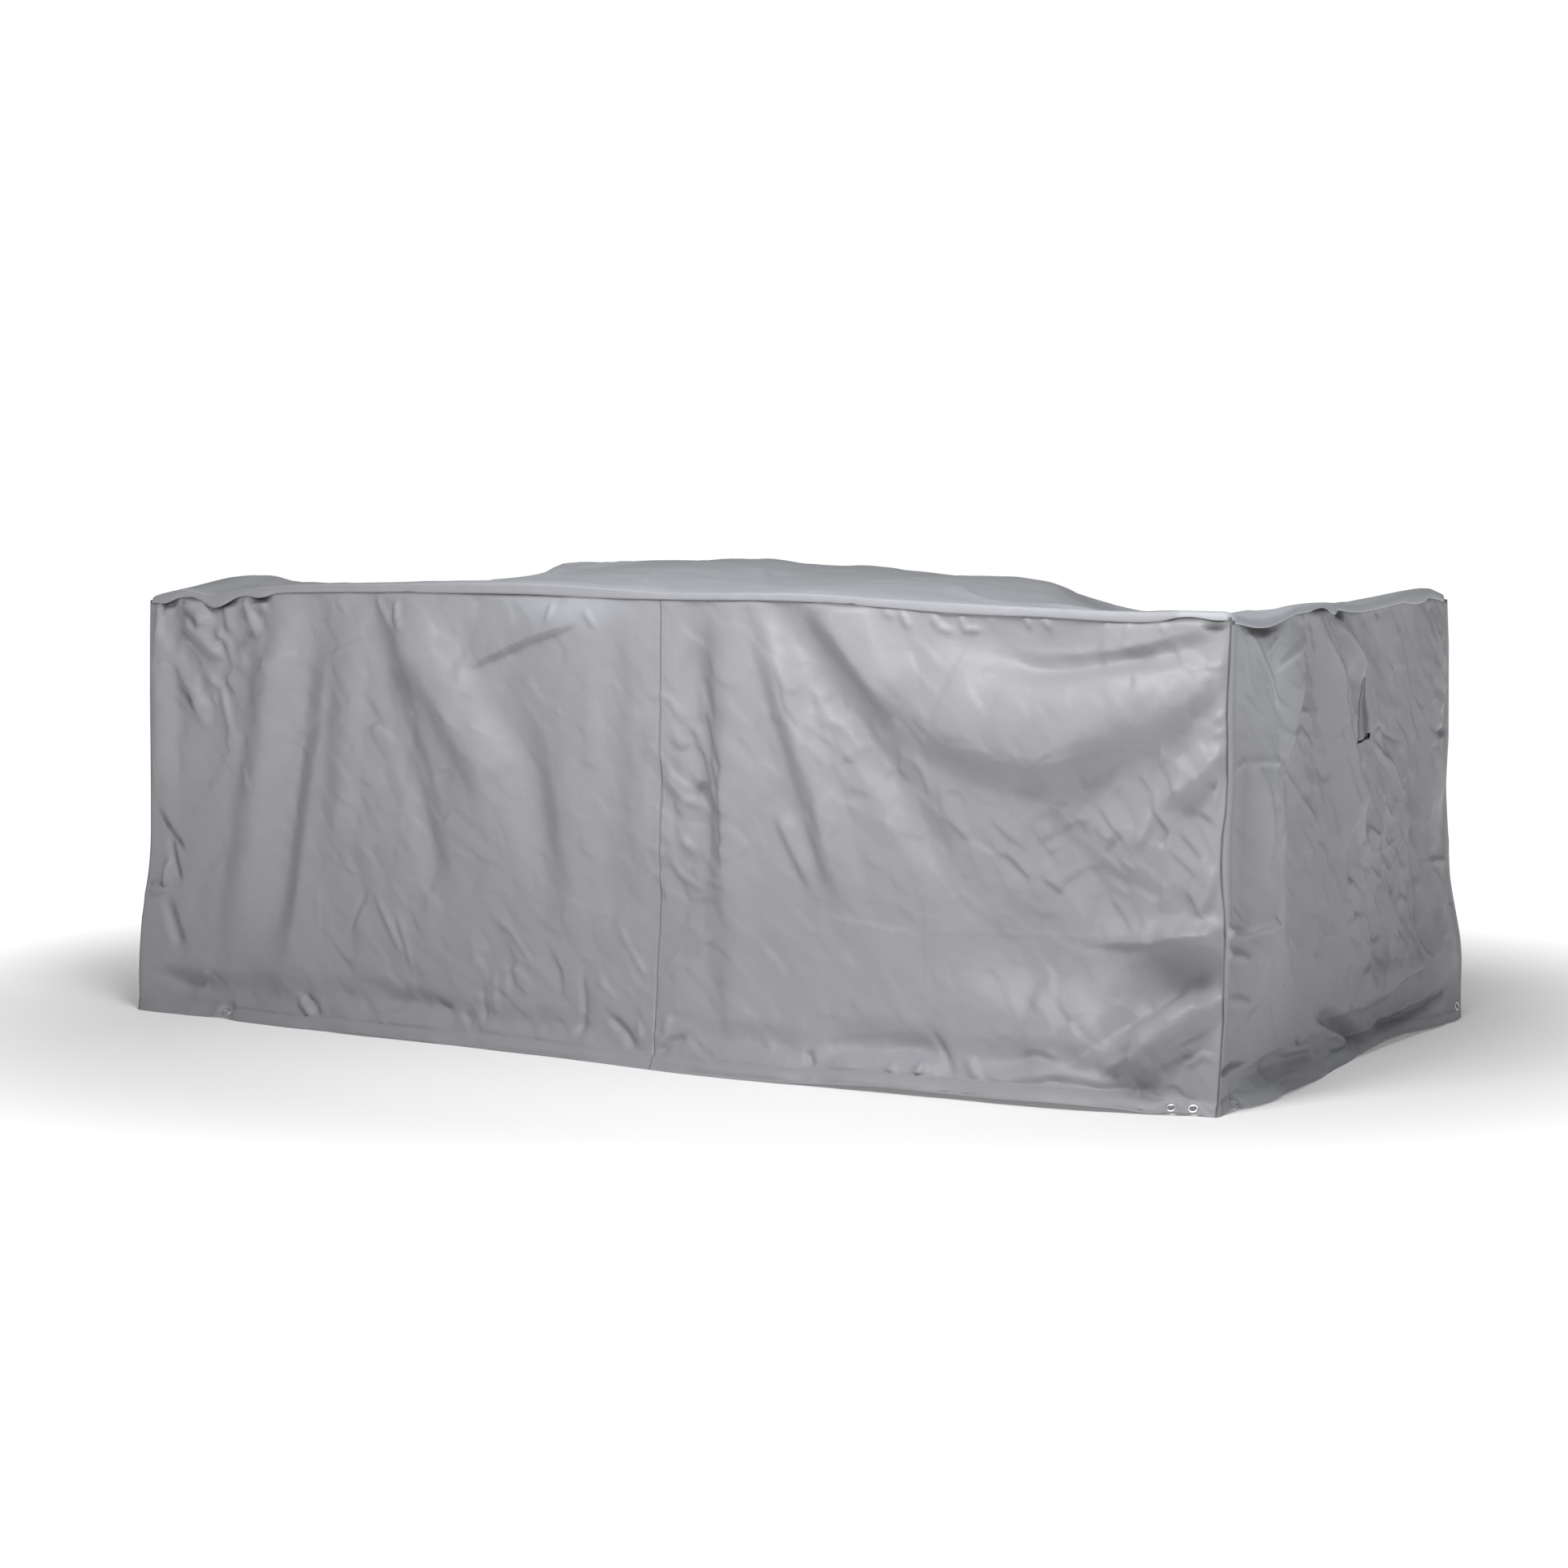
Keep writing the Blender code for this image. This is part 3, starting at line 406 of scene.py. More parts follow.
frontCreases = [
    # the level crease that runs into the right corner
    ([(0.955, 0.288), (1.08, 0.297), (1.236, 0.307)], 50, 9, 12, 0.1),
    # left of the middle seam
    ([(-0.765, 0.775), (-0.7, 0.8), (-0.66, 0.82), (-0.612, 0.842)], 7, 9, 3.5, 0.8),
    ([(-0.577, 0.9), (-0.57, 0.86), (-0.553, 0.838)], 11, 14, 9.5, 0.5),
    ([(-0.632, 0.905), (-0.6, 0.858), (-0.58, 0.842)], 13, 13, 7.7, 0.4),
    ([(-0.735, 0.9), (-0.705, 0.872)], 14, 12, 5.8, 0.3),
    ([(-0.53, 0.88), (-0.5, 0.872), (-0.47, 0.885)], 8, 9, 3.1, 0.6),
    ([(-0.395, 0.775), (-0.26, 0.822), (-0.145, 0.86)], 46, 22, 8.6, 0.5),
    ([(-0.2, 0.897), (-0.212, 0.86)], 12, 12, 5.8, 0.4),
    ([(-0.125, 0.885), (-0.098, 0.848)], 12, 12, 5.8, 0.4),
    ([(-0.57, 0.668), (-0.52, 0.696), (-0.498, 0.706)], 6, 7, 2.2, 0.8),
    ([(-0.614, 0.745), (-0.6, 0.7), (-0.588, 0.66)], 8, 9, 3.1, 0.7),
    ([(-0.552, 0.655), (-0.525, 0.636)], 7, 8, 3.1, 0.7),
    ([(-0.5, 0.65), (-0.47, 0.642), (-0.43, 0.646)], 7, 8, 2.7, 0.7),
    ([(-0.472, 0.69), (-0.438, 0.652), (-0.4, 0.62)], 8, 9, 3.8, 0.7),
    ([(-0.395, 0.648), (-0.375, 0.632)], 7, 7, 2.2, 0.7),
    ([(-0.752, 0.636), (-0.728, 0.63), (-0.69, 0.636)], 7, 7, 2.2, 0.7),
    ([(-0.735, 0.505), (-0.7, 0.468)], 8, 8, 3.2, 0.7),
    ([(-0.66, 0.477), (-0.626, 0.458)], 8, 8, 3.5, 0.7),
    ([(-0.74, 0.37), (-0.725, 0.345)], 9, 8, -3.1, 0.6),
    ([(-0.645, 0.292), (-0.62, 0.25), (-0.6, 0.215), (-0.575, 0.165)], 10, 12, 7.7, 0.6),
    ([(-0.59, 0.255), (-0.568, 0.195), (-0.552, 0.135)], 10, 10, 6.1, 0.5),
    ([(-0.667, 0.303), (-0.69, 0.25), (-0.712, 0.205)], 13, 13, -6.1, 0.4),
    ([(-0.35, 0.262), (-0.305, 0.232), (-0.272, 0.192), (-0.248, 0.158)], 10, 10, 5.8, 0.6),
    ([(-0.3, 0.135), (-0.26, 0.105)], 9, 9, 4.1, 0.6),
    ([(-0.28, 0.45), (-0.27, 0.475), (-0.25, 0.5)], 6, 6, 1.7, 0.8),
    ([(-0.512, 0.3), (-0.508, 0.25)], 7, 7, 2.5, 0.7),
    ([(-0.792, 0.3), (-0.792, 0.19)], 7, 8, 2.5, 0.7),
    ([(-0.85, 0.305), (-0.82, 0.3), (-0.8, 0.292)], 6, 7, 2.2, 0.7),
    ([(-0.068, 0.745), (-0.045, 0.722)], 8, 8, 3.5, 0.7),
    ([(-0.195, 0.69), (-0.18, 0.668)], 8, 8, 3.1, 0.7),
    # right of the middle seam
    ([(0.02, 0.728), (0.07, 0.712), (0.1, 0.676), (0.13, 0.642), (0.152, 0.59), (0.172, 0.53),
      (0.192, 0.485)], 14, 12, 5.8, 0.6),
    ([(0.12, 0.745), (0.14, 0.7), (0.172, 0.66)], 9, 9, 3.5, 0.7),
    ([(0.12, 0.69), (0.15, 0.685), (0.17, 0.672)], 8, 8, 2.7, 0.7),
    ([(0.055, 0.565), (0.1, 0.52), (0.145, 0.5)], 16, 13, 5.8, 0.5),
    ([(0.078, 0.48), (0.11, 0.43), (0.135, 0.405)], 14, 12, 4.6, 0.4),
    ([(0.072, 0.41), (0.092, 0.37), (0.15, 0.343)], 12, 12, 6.1, 0.5),
    ([(0.15, 0.363), (0.202, 0.356)], 9, 9, 3.8, 0.6),
    ([(0.312, 0.77), (0.334, 0.702), (0.372, 0.655)], 9, 6, -5.8, 0.6),
    ([(0.378, 0.682), (0.41, 0.655), (0.445, 0.628)], 7, 8, 3.2, 0.8),
    ([(0.508, 0.695), (0.53, 0.648)], 8, 8, 3.1, 0.7),
    ([(0.604, 0.625), (0.628, 0.58), (0.638, 0.545)], 14, 12, 5.8, 0.4),
    ([(0.54, 0.895), (0.565, 0.878)], 12, 12, 5.8, 0.4),
    ([(0.575, 0.893), (0.602, 0.858)], 12, 12, 7.7, 0.4),
    ([(0.64, 0.885), (0.662, 0.862), (0.69, 0.852)], 12, 12, 7.7, 0.4),
    ([(0.7, 0.888), (0.712, 0.86), (0.748, 0.858)], 11, 11, 7.7, 0.4),
    ([(0.65, 0.632), (0.78, 0.626), (0.88, 0.615)], 6, 7, 2.2, 0.8),
    ([(0.87, 0.62), (0.93, 0.637), (0.985, 0.654)], 14, 8, 4.1, 0.7),
    ([(0.868, 0.625), (0.905, 0.66)], 8, 8, 2.7, 0.6),
    ([(0.835, 0.688), (0.855, 0.655)], 7, 8, 2.2, 0.7),
    ([(0.832, 0.89), (0.846, 0.862)], 10, 10, 6.5, 0.4),
    ([(0.865, 0.888), (0.888, 0.862)], 11, 11, 6.1, 0.4),
    ([(1.0, 0.885), (0.99, 0.832)], 9, 10, 5, 0.5),
    ([(1.04, 0.88), (1.035, 0.85)], 9, 9, 4.1, 0.5),
    ([(1.09, 0.885), (1.12, 0.858)], 10, 10, 5, 0.5),
    ([(0.755, 0.78), (0.775, 0.77)], 10, 9, 3.8, 0.5),
    ([(0.85, 0.47), (0.912, 0.508), (0.972, 0.525)], 30, 13, 6.5, 0.4),
    ([(0.858, 0.445), (0.905, 0.468)], 16, 12, 3.8, 0.4),
    ([(0.9, 0.4), (0.955, 0.435)], 16, 12, 3.8, 0.4),
    ([(0.965, 0.5), (0.985, 0.478), (1.01, 0.47)], 12, 14, -5.8, 0.4),
    ([(1.025, 0.446), (1.05, 0.428)], 8, 9, 3.8, 0.6),
    ([(1.048, 0.465), (1.075, 0.5), (1.086, 0.55)], 24, 16, 7.7, 0.3),
    ([(0.985, 0.56), (1.03, 0.59), (1.062, 0.56)], 14, 12, 3.8, 0.5),
    # out of the right corner
    ([(1.078, 0.66), (1.13, 0.722), (1.19, 0.772), (1.228, 0.8)], 40, 36, 12.8, 0.3),
    ([(1.1, 0.56), (1.152, 0.584), (1.2, 0.622), (1.228, 0.664)], 56, 30, 28, 0.3),
    ([(1.204, 0.705), (1.232, 0.722)], 12, 16, 8.5, 0.4),
    ([(1.205, 0.68), (1.232, 0.69)], 9, 10, 6.4, 0.5),
    ([(1.18, 0.805), (1.205, 0.8), (1.23, 0.806)], 8, 10, 5.5, 0.6),
    ([(1.185, 0.79), (1.202, 0.775)], 7, 8, 4.2, 0.6),
    ([(1.205, 0.54), (1.215, 0.59), (1.232, 0.64)], 14, 10, 8.5, 0.5),
    ([(1.196, 0.65), (1.215, 0.64), (1.232, 0.645)], 8, 9, 5.5, 0.6),
    ([(1.16, 0.33), (1.195, 0.395), (1.218, 0.45)], 26, 22, 12.8, 0.3),
    # the buckle and the ridges over the right foot
    ([(1.098, 0.303), (1.15, 0.314), (1.19, 0.32), (1.234, 0.325)], 24, 9, 17, 0.6),
    ([(1.08, 0.32), (1.15, 0.325), (1.234, 0.33)], 34, 62, 19.1, 0.0),
    ([(1.03, 0.075), (1.11, 0.14), (1.172, 0.184), (1.234, 0.196)], 62, 40, 42, 0.2),
    ([(1.0, 0.062), (1.04, 0.086), (1.075, 0.102)], 14, 15, 12.8, 0.5),
    ([(1.06, 0.058), (1.12, 0.1), (1.185, 0.13)], 20, 14, 10.6, 0.4),
    ([(1.15, 0.08), (1.19, 0.105), (1.215, 0.095)], 12, 12, 8.5, 0.5),
]

footFolds = [      # breaks of the cloth just above the front hem, which spreads out over the ground
    ([(-1.05, -0.004), (-0.92, -0.004), (-0.8, -0.004)], 62, 30, 26, 0.5),
    ([(-0.79, -0.004), (-0.6, -0.004), (-0.42, -0.004)], 66, 30, 28, 0.5),
    ([(-0.41, -0.004), (-0.22, -0.004), (-0.04, -0.004)], 58, 30, 22, 0.5),
    ([(0.1, -0.004), (0.24, -0.004), (0.385, -0.004)], 56, 30, 21, 0.5),
    ([(0.4, -0.004), (0.55, -0.004), (0.69, -0.004)], 66, 30, 28, 0.5),
    ([(0.705, -0.004), (0.86, -0.004), (1.05, -0.004)], 60, 30, 25, 0.5),
    ([(-1.235, 0.07), (-1.0, 0.06), (-0.83, 0.066)], 44, 30, -8, 0.2),
    ([(-0.82, 0.062), (-0.64, 0.074), (-0.46, 0.06)], 46, 30, -9, 0.2),
    ([(-0.44, 0.056), (-0.25, 0.05), (-0.09, 0.058)], 40, 28, -7, 0.2),
    ([(0.13, 0.05), (0.26, 0.056), (0.39, 0.048)], 40, 28, -6, 0.2),
    ([(0.395, 0.062), (0.54, 0.082), (0.69, 0.066)], 46, 34, -10, 0.2),
    ([(0.72, 0.06), (0.9, 0.07), (1.06, 0.05)], 44, 30, -9, 0.2),
    ([(-1.24, 0.075), (-1.15, 0.068), (-1.06, 0.06)], 30, 18, -9.1, 0.1),
    ([(-1.1, 0.1), (-1.102, 0.05)], 10, 9, 5.5, 0.5),
    ([(-1.085, 0.098), (-1.045, 0.068)], 10, 12, -5.5, 0.4),
    ([(-0.975, 0.06), (-0.945, 0.05)], 8, 8, 4.4, 0.6),
    ([(-0.848, 0.058), (-0.822, 0.036), (-0.806, 0.014)], 14, 13, 10.9, 0.5),
    ([(-0.838, 0.066), (-0.805, 0.045), (-0.786, 0.016)], 10, 9, -7.3, 0.5),
    ([(-0.755, 0.018), (-0.66, 0.034), (-0.6, 0.054), (-0.572, 0.07), (-0.5, 0.064), (-0.42, 0.048)],
     34, 15, -7.8, 0.4),
    ([(-0.5, 0.078), (-0.455, 0.06)], 12, 10, -7.3, 0.4),
    ([(-0.425, 0.06), (-0.4, 0.028)], 12, 12, -7.3, 0.3),
    ([(-0.378, 0.12), (-0.372, 0.035)], 12, 10, -5.5, 0.3),
    ([(-0.35, 0.15), (-0.345, 0.05)], 14, 12, 4.4, 0.2),
    ([(-0.135, 0.16), (-0.13, 0.08), (-0.142, 0.022)], 13, 11, -7.3, 0.4),
    ([(-0.23, 0.045), (-0.205, 0.03)], 10, 10, -4.7, 0.4),
    ([(-0.05, 0.262), (-0.012, 0.202), (0.022, 0.152)], 9, 10, 5.5, 0.7),
    ([(0.104, 0.238), (0.075, 0.195), (0.052, 0.158)], 7, 7, 2.9, 0.7),
    ([(-0.095, 0.148), (-0.05, 0.108)], 9, 9, 4, 0.6),
    ([(-0.075, 0.08), (-0.035, 0.048), (-0.008, 0.008)], 17, 15, -12.7, 0.5),
    ([(0.112, 0.052), (0.07, 0.036), (0.04, 0.006)], 15, 13, -12.7, 0.5),
    ([(0.12, 0.044), (0.15, 0.022), (0.176, 0.012)], 12, 11, -7.3, 0.4),
    ([(-0.005, 0.075), (0.004, 0.03)], 10, 10, 5.5, 0.5),
    ([(0.07, 0.09), (0.056, 0.05)], 12, 10, 5.5, 0.4),
    ([(0.285, 0.06), (0.305, 0.035)], 9, 9, 4.4, 0.5),
    ([(0.38, 0.045), (0.392, 0.01)], 12, 12, -12.7, 0.5),
    ([(0.388, 0.012), (0.44, 0.042), (0.52, 0.056), (0.6, 0.064), (0.655, 0.06), (0.694, 0.014)],
     42, 24, -13, 0.3),
    ([(0.64, 0.11), (0.668, 0.066), (0.694, 0.02)], 12, 12, -7.3, 0.4),
    ([(0.632, 0.05), (0.622, 0.016)], 15, 15, 9.1, 0.4),
    ([(0.56, 0.036), (0.575, 0.01)], 16, 16, 7.3, 0.3),
    ([(0.72, 0.06), (0.745, 0.02)], 18, 16, 7.3, 0.2),
    ([(0.815, 0.058), (0.85, 0.078), (0.915, 0.064)], 10, 9, -6.2, 0.6),
    ([(0.765, 0.012), (0.8, 0.01), (0.86, 0.02), (0.905, 0.029), (1.0, 0.022), (1.055, 0.03),
      (1.095, 0.042)], 18, 10, -10.9, 0.4),
    ([(0.9, 0.03), (0.935, 0.01)], 8, 8, -5.5, 0.6),
    ([(1.06, 0.044), (1.068, 0.014)], 9, 9, 6.2, 0.5),
]

sideFolds = [
    # where the wall turns out into its hem
    ([(-0.58, 0.052), (-0.32, 0.062), (-0.06, 0.056)], 26, 56, -12, 0.1),
    ([(-0.11, 0.06), (0.13, 0.072), (0.38, 0.076)], 30, 60, -15, 0.1),
    ([(0.28, 0.082), (0.46, 0.096), (0.62, 0.12)], 26, 74, -20, 0.2),
    # broad ones
    ([(-0.445, 0.7), (-0.45, 0.45), (-0.5, 0.14)], 100, 100, 30, 0.3),
    ([(-0.4, 0.88), (-0.33, 0.7), (-0.27, 0.5), (-0.24, 0.2)], 70, 90, -18, 0.1),
    ([(-0.195, 0.89), (-0.13, 0.72), (-0.04, 0.56), (0.09, 0.4)], 70, 54, 30, 0.3),
    ([(-0.09, 0.88), (0.0, 0.82), (0.08, 0.77)], 40, 50, 12, 0.2),
    ([(0.54, 0.88), (0.545, 0.64), (0.552, 0.4)], 84, 110, 16, 0.1),
    ([(0.44, 0.3), (0.5, 0.2), (0.6, 0.12)], 60, 70, -12, 0.1),
    ([(0.18, 0.88), (0.26, 0.7), (0.3, 0.56)], 90, 90, -10, 0.1),
    ([(0.13, 0.5), (0.2, 0.36), (0.32, 0.22)], 60, 50, 8, 0.2),
    ([(0.44, 0.56), (0.42, 0.42), (0.45, 0.28)], 60, 60, -9, 0.1),
    # the fan out of the rim
    ([(-0.205, 0.885), (-0.152, 0.8), (-0.1, 0.715), (-0.05, 0.63), (0.0, 0.56), (0.06, 0.48),
      (0.104, 0.415)], 30, 26, 20, 0.4),
    ([(-0.152, 0.88), (-0.12, 0.822), (-0.058, 0.75), (0.0, 0.69), (0.042, 0.64)], 26, 20, 20, 0.4),
    ([(-0.105, 0.865), (-0.04, 0.83), (0.01, 0.806), (0.06, 0.778), (0.092, 0.752)], 18, 26, 17.1, 0.5),
    ([(-0.238, 0.868), (-0.226, 0.83), (-0.208, 0.8)], 12, 10, 11.4, 0.5),
    ([(-0.262, 0.87), (-0.28, 0.75), (-0.3, 0.61)], 15, 60, 14.2, 0.2),
    ([(-0.56, 0.875), (-0.47, 0.82), (-0.38, 0.752), (-0.296, 0.698)], 8, 8, 4.8, 0.8),
    ([(-0.312, 0.604), (-0.25, 0.552), (-0.195, 0.508), (-0.14, 0.462)], 7, 7, 3.8, 0.8),
    ([(-0.36, 0.852), (-0.4, 0.834), (-0.45, 0.82)], 7, 7, 3.8, 0.7),
    ([(-0.368, 0.786), (-0.3, 0.82), (-0.262, 0.842)], 9, 16, 6.9, 0.4),
    # across the near part
    ([(-0.605, 0.613), (-0.572, 0.631), (-0.548, 0.622)], 9, 9, 5.7, 0.6),
    ([(-0.535, 0.622), (-0.5, 0.625), (-0.408, 0.619)], 13, 9, 6.5, 0.6),
    ([(-0.492, 0.6), (-0.474, 0.51), (-0.49, 0.42)], 14, 42, 7.6, 0.3),
    ([(-0.33, 0.6), (-0.338, 0.5), (-0.35, 0.44)], 7, 7, 2.5, 0.7),
    ([(-0.36, 0.45), (-0.385, 0.335), (-0.402, 0.28), (-0.45, 0.19)], 8, 8, 3.4, 0.7),
    ([(-0.612, 0.372), (-0.56, 0.34), (-0.52, 0.322)], 9, 9, 4.9, 0.6),
    ([(-0.66, 0.326), (-0.6, 0.322), (-0.55, 0.313), (-0.52, 0.322), (-0.415, 0.322)], 16, 9, 15.2, 0.6),
    ([(-0.64, 0.29), (-0.59, 0.28), (-0.525, 0.268)], 18, 9, 7.6, 0.5),
    ([(-0.62, 0.205), (-0.57, 0.196), (-0.528, 0.186)], 16, 9, 7.6, 0.5),
    ([(-0.524, 0.275), (-0.53, 0.19)], 9, 9, 4.6, 0.6),
    ([(-0.61, 0.118), (-0.54, 0.16), (-0.45, 0.202)], 7, 7, 2.7, 0.7),
    ([(-0.45, 0.182), (-0.42, 0.162), (-0.382, 0.102), (-0.355, 0.082)], 8, 8, 3.4, 0.7),
    ([(-0.285, 0.79), (-0.2, 0.78)], 7, 7, 1.9, 0.6),
    ([(-0.29, 0.7), (-0.15, 0.7)], 7, 7, 1.9, 0.6),
    ([(-0.285, 0.66), (-0.16, 0.648)], 7, 7, 2.1, 0.6),
    ([(-0.088, 0.424), (-0.118, 0.362), (-0.132, 0.335)], 9, 9, 3.4, 0.6),
    # behind the vent
    ([(0.15, 0.64), (0.19, 0.651), (0.25, 0.635), (0.3, 0.62), (0.342, 0.61)], 7, 7, -5.5, 0.6),
    ([(0.14, 0.626), (0.2, 0.6), (0.28, 0.566), (0.335, 0.522), (0.37, 0.49)], 14, 14, 10.2, 0.5),
    ([(0.37, 0.49), (0.38, 0.42)], 12, 12, 6.8, 0.4),
    ([(0.29, 0.352), (0.34, 0.4), (0.37, 0.42)], 7, 7, 3.6, 0.7),
    ([(0.1, 0.4), (0.25, 0.4), (0.37, 0.418)], 6, 6, 2, 0.7),
    ([(0.38, 0.43), (0.41, 0.35), (0.432, 0.28), (0.47, 0.212), (0.5, 0.185), (0.57, 0.14),
      (0.65, 0.09)], 11, 11, 6.8, 0.6),
    ([(0.104, 0.42), (0.13, 0.38), (0.2, 0.33), (0.28, 0.252), (0.34, 0.215), (0.4, 0.18)], 9, 9, 5, 0.6),
    ([(0.1, 0.292), (0.15, 0.24), (0.188, 0.212), (0.212, 0.25)], 9, 9, 5, 0.6),
    ([(0.488, 0.18), (0.5, 0.13), (0.545, 0.082)], 10, 10, 5.5, 0.5),
    ([(0.47, 0.865), (0.486, 0.75), (0.496, 0.6), (0.515, 0.45), (0.53, 0.34), (0.545, 0.195)],
     11, 9, 3.1, 0.6),
    ([(0.52, 0.868), (0.55, 0.8), (0.58, 0.725), (0.6, 0.68)], 15, 13, 7.8, 0.4),
    ([(0.545, 0.86), (0.575, 0.82)], 10, 10, 5.5, 0.4),
    ([(0.525, 0.622), (0.58, 0.614), (0.632, 0.618)], 16, 11, -13.7, 0.4),
    ([(0.515, 0.6), (0.545, 0.55), (0.57, 0.48)], 26, 24, 11.4, 0.1),
    ([(0.535, 0.345), (0.6, 0.285), (0.642, 0.228)], 12, 18, 11.4, 0.4),
    ([(0.5, 0.346), (0.57, 0.344), (0.645, 0.336)], 10, 12, 6.8, 0.5),
    ([(0.14, 0.905), (0.17, 0.88), (0.2, 0.87)], 8, 8, -5.5, 0.6),
    ([(-0.09, 0.885), (-0.055, 0.876)], 7, 7, -6.8, 0.6),
    # over the hem
    ([(-0.61, -0.004), (-0.46, -0.004), (-0.32, -0.004)], 64, 30, 26, 0.5),
    ([(-0.33, -0.004), (-0.2, -0.004), (-0.08, -0.004)], 52, 30, 20, 0.5),
    ([(-0.665, 0.078), (-0.62, 0.083), (-0.53, 0.085)], 9, 9, -13.7, 0.5),
    ([(-0.43, 0.075), (-0.42, 0.03)], 16, 14, -9.1, 0.2),
    ([(-0.34, 0.07), (-0.26, 0.064), (-0.195, 0.06), (-0.148, 0.028)], 18, 16, 16, 0.3),
    ([(-0.262, 0.082), (-0.24, 0.074)], 9, 8, -9.1, 0.5),
    ([(-0.38, 0.016), (-0.3, 0.01), (-0.2, 0.006)], 14, 8, -13.7, 0.3),
    ([(-0.15, 0.11), (-0.06, 0.088), (0.04, 0.052), (0.105, 0.034), (0.16, 0.024)], 36, 16, -25.1, 0.3),
    ([(-0.085, 0.066), (-0.02, 0.056), (0.03, 0.036)], 14, 14, 13.7, 0.3),
    ([(0.055, 0.03), (0.062, 0.01)], 8, 8, -9.1, 0.5),
    ([(0.09, 0.022), (0.105, 0.006)], 8, 8, -9.1, 0.5),
    ([(0.15, 0.026), (0.24, 0.034), (0.4, 0.034), (0.54, 0.04), (0.62, 0.052), (0.69, 0.066)],
     16, 15, -18, 0.3),
    ([(0.1, 0.09), (0.18, 0.084), (0.24, 0.094)], 9, 9, 4.1, 0.5),
]

backFolds = [
    ([(-1.18, 0.89), (-1.08, 0.8), (-0.96, 0.7)], 34, 26, 12, 0.3),
    ([(-0.86, 0.88), (-0.83, 0.6), (-0.85, 0.15)], 60, 50, 12, 0.0),
    ([(-0.5, 0.89), (-0.43, 0.72), (-0.33, 0.54)], 60, 50, 13.5, 0.2),
    ([(-0.16, 0.88), (-0.2, 0.6), (-0.19, 0.2)], 70, 70, -10.5, 0.0),
    ([(0.3, 0.89), (0.36, 0.7), (0.46, 0.5)], 60, 46, 13.5, 0.2),
    ([(0.64, 0.88), (0.62, 0.5), (0.65, 0.15)], 60, 70, 12, 0.0),
    ([(0.9, 0.76), (1.05, 0.78), (1.2, 0.86)], 44, 50, 13.5, 0.2),
    ([(1.08, 0.3), (1.15, 0.315), (1.225, 0.32)], 20, 14, 9, 0.5),
    ([(-0.42, 0.12), (-0.3, 0.085), (-0.18, 0.1)], 30, 20, -9, 0.3),
    ([(0.1, 0.25), (0.06, 0.15), (0.045, 0.05)], 14, 14, 4.5, 0.5),
    ([(-0.02, 0.24), (0.02, 0.14), (0.038, 0.05)], 14, 14, 4.5, 0.5),
]

leftFolds = [
    ([(-0.56, 0.89), (-0.45, 0.78), (-0.34, 0.64)], 34, 26, 12, 0.3),
    ([(-0.2, 0.88), (-0.18, 0.6), (-0.22, 0.15)], 60, 50, 12, 0.0),
    ([(0.06, 0.89), (0.1, 0.72), (0.18, 0.52)], 56, 44, 12, 0.2),
    ([(0.36, 0.88), (0.38, 0.5), (0.35, 0.18)], 60, 60, -9, 0.0),
    ([(0.6, 0.87), (0.52, 0.76), (0.42, 0.68)], 30, 30, 10.5, 0.3),
    ([(-0.61, 0.3), (-0.52, 0.29), (-0.44, 0.31)], 18, 12, 7.5, 0.5),
    ([(-0.3, 0.08), (-0.15, 0.1), (0.02, 0.07)], 24, 30, -9, 0.3),
]

pressFolds = [     # faint sharp lines of the front wall, left from when the cover lay folded
    ([(0.637, 0.52), (0.632, 0.3), (0.636, 0.12)], 6, 7, 1.8, 0.8),
    ([(0.56, 0.29), (0.8, 0.296), (1.07, 0.304)], 6, 6, 1.4, 0.8),
    ([(-0.665, 0.296), (-0.56, 0.294), (-0.3, 0.29)], 6, 6, 1.3, 0.8),
    ([(-0.3, 0.56), (-0.5, 0.555)], 5, 5, 0.6, 0.8),
]

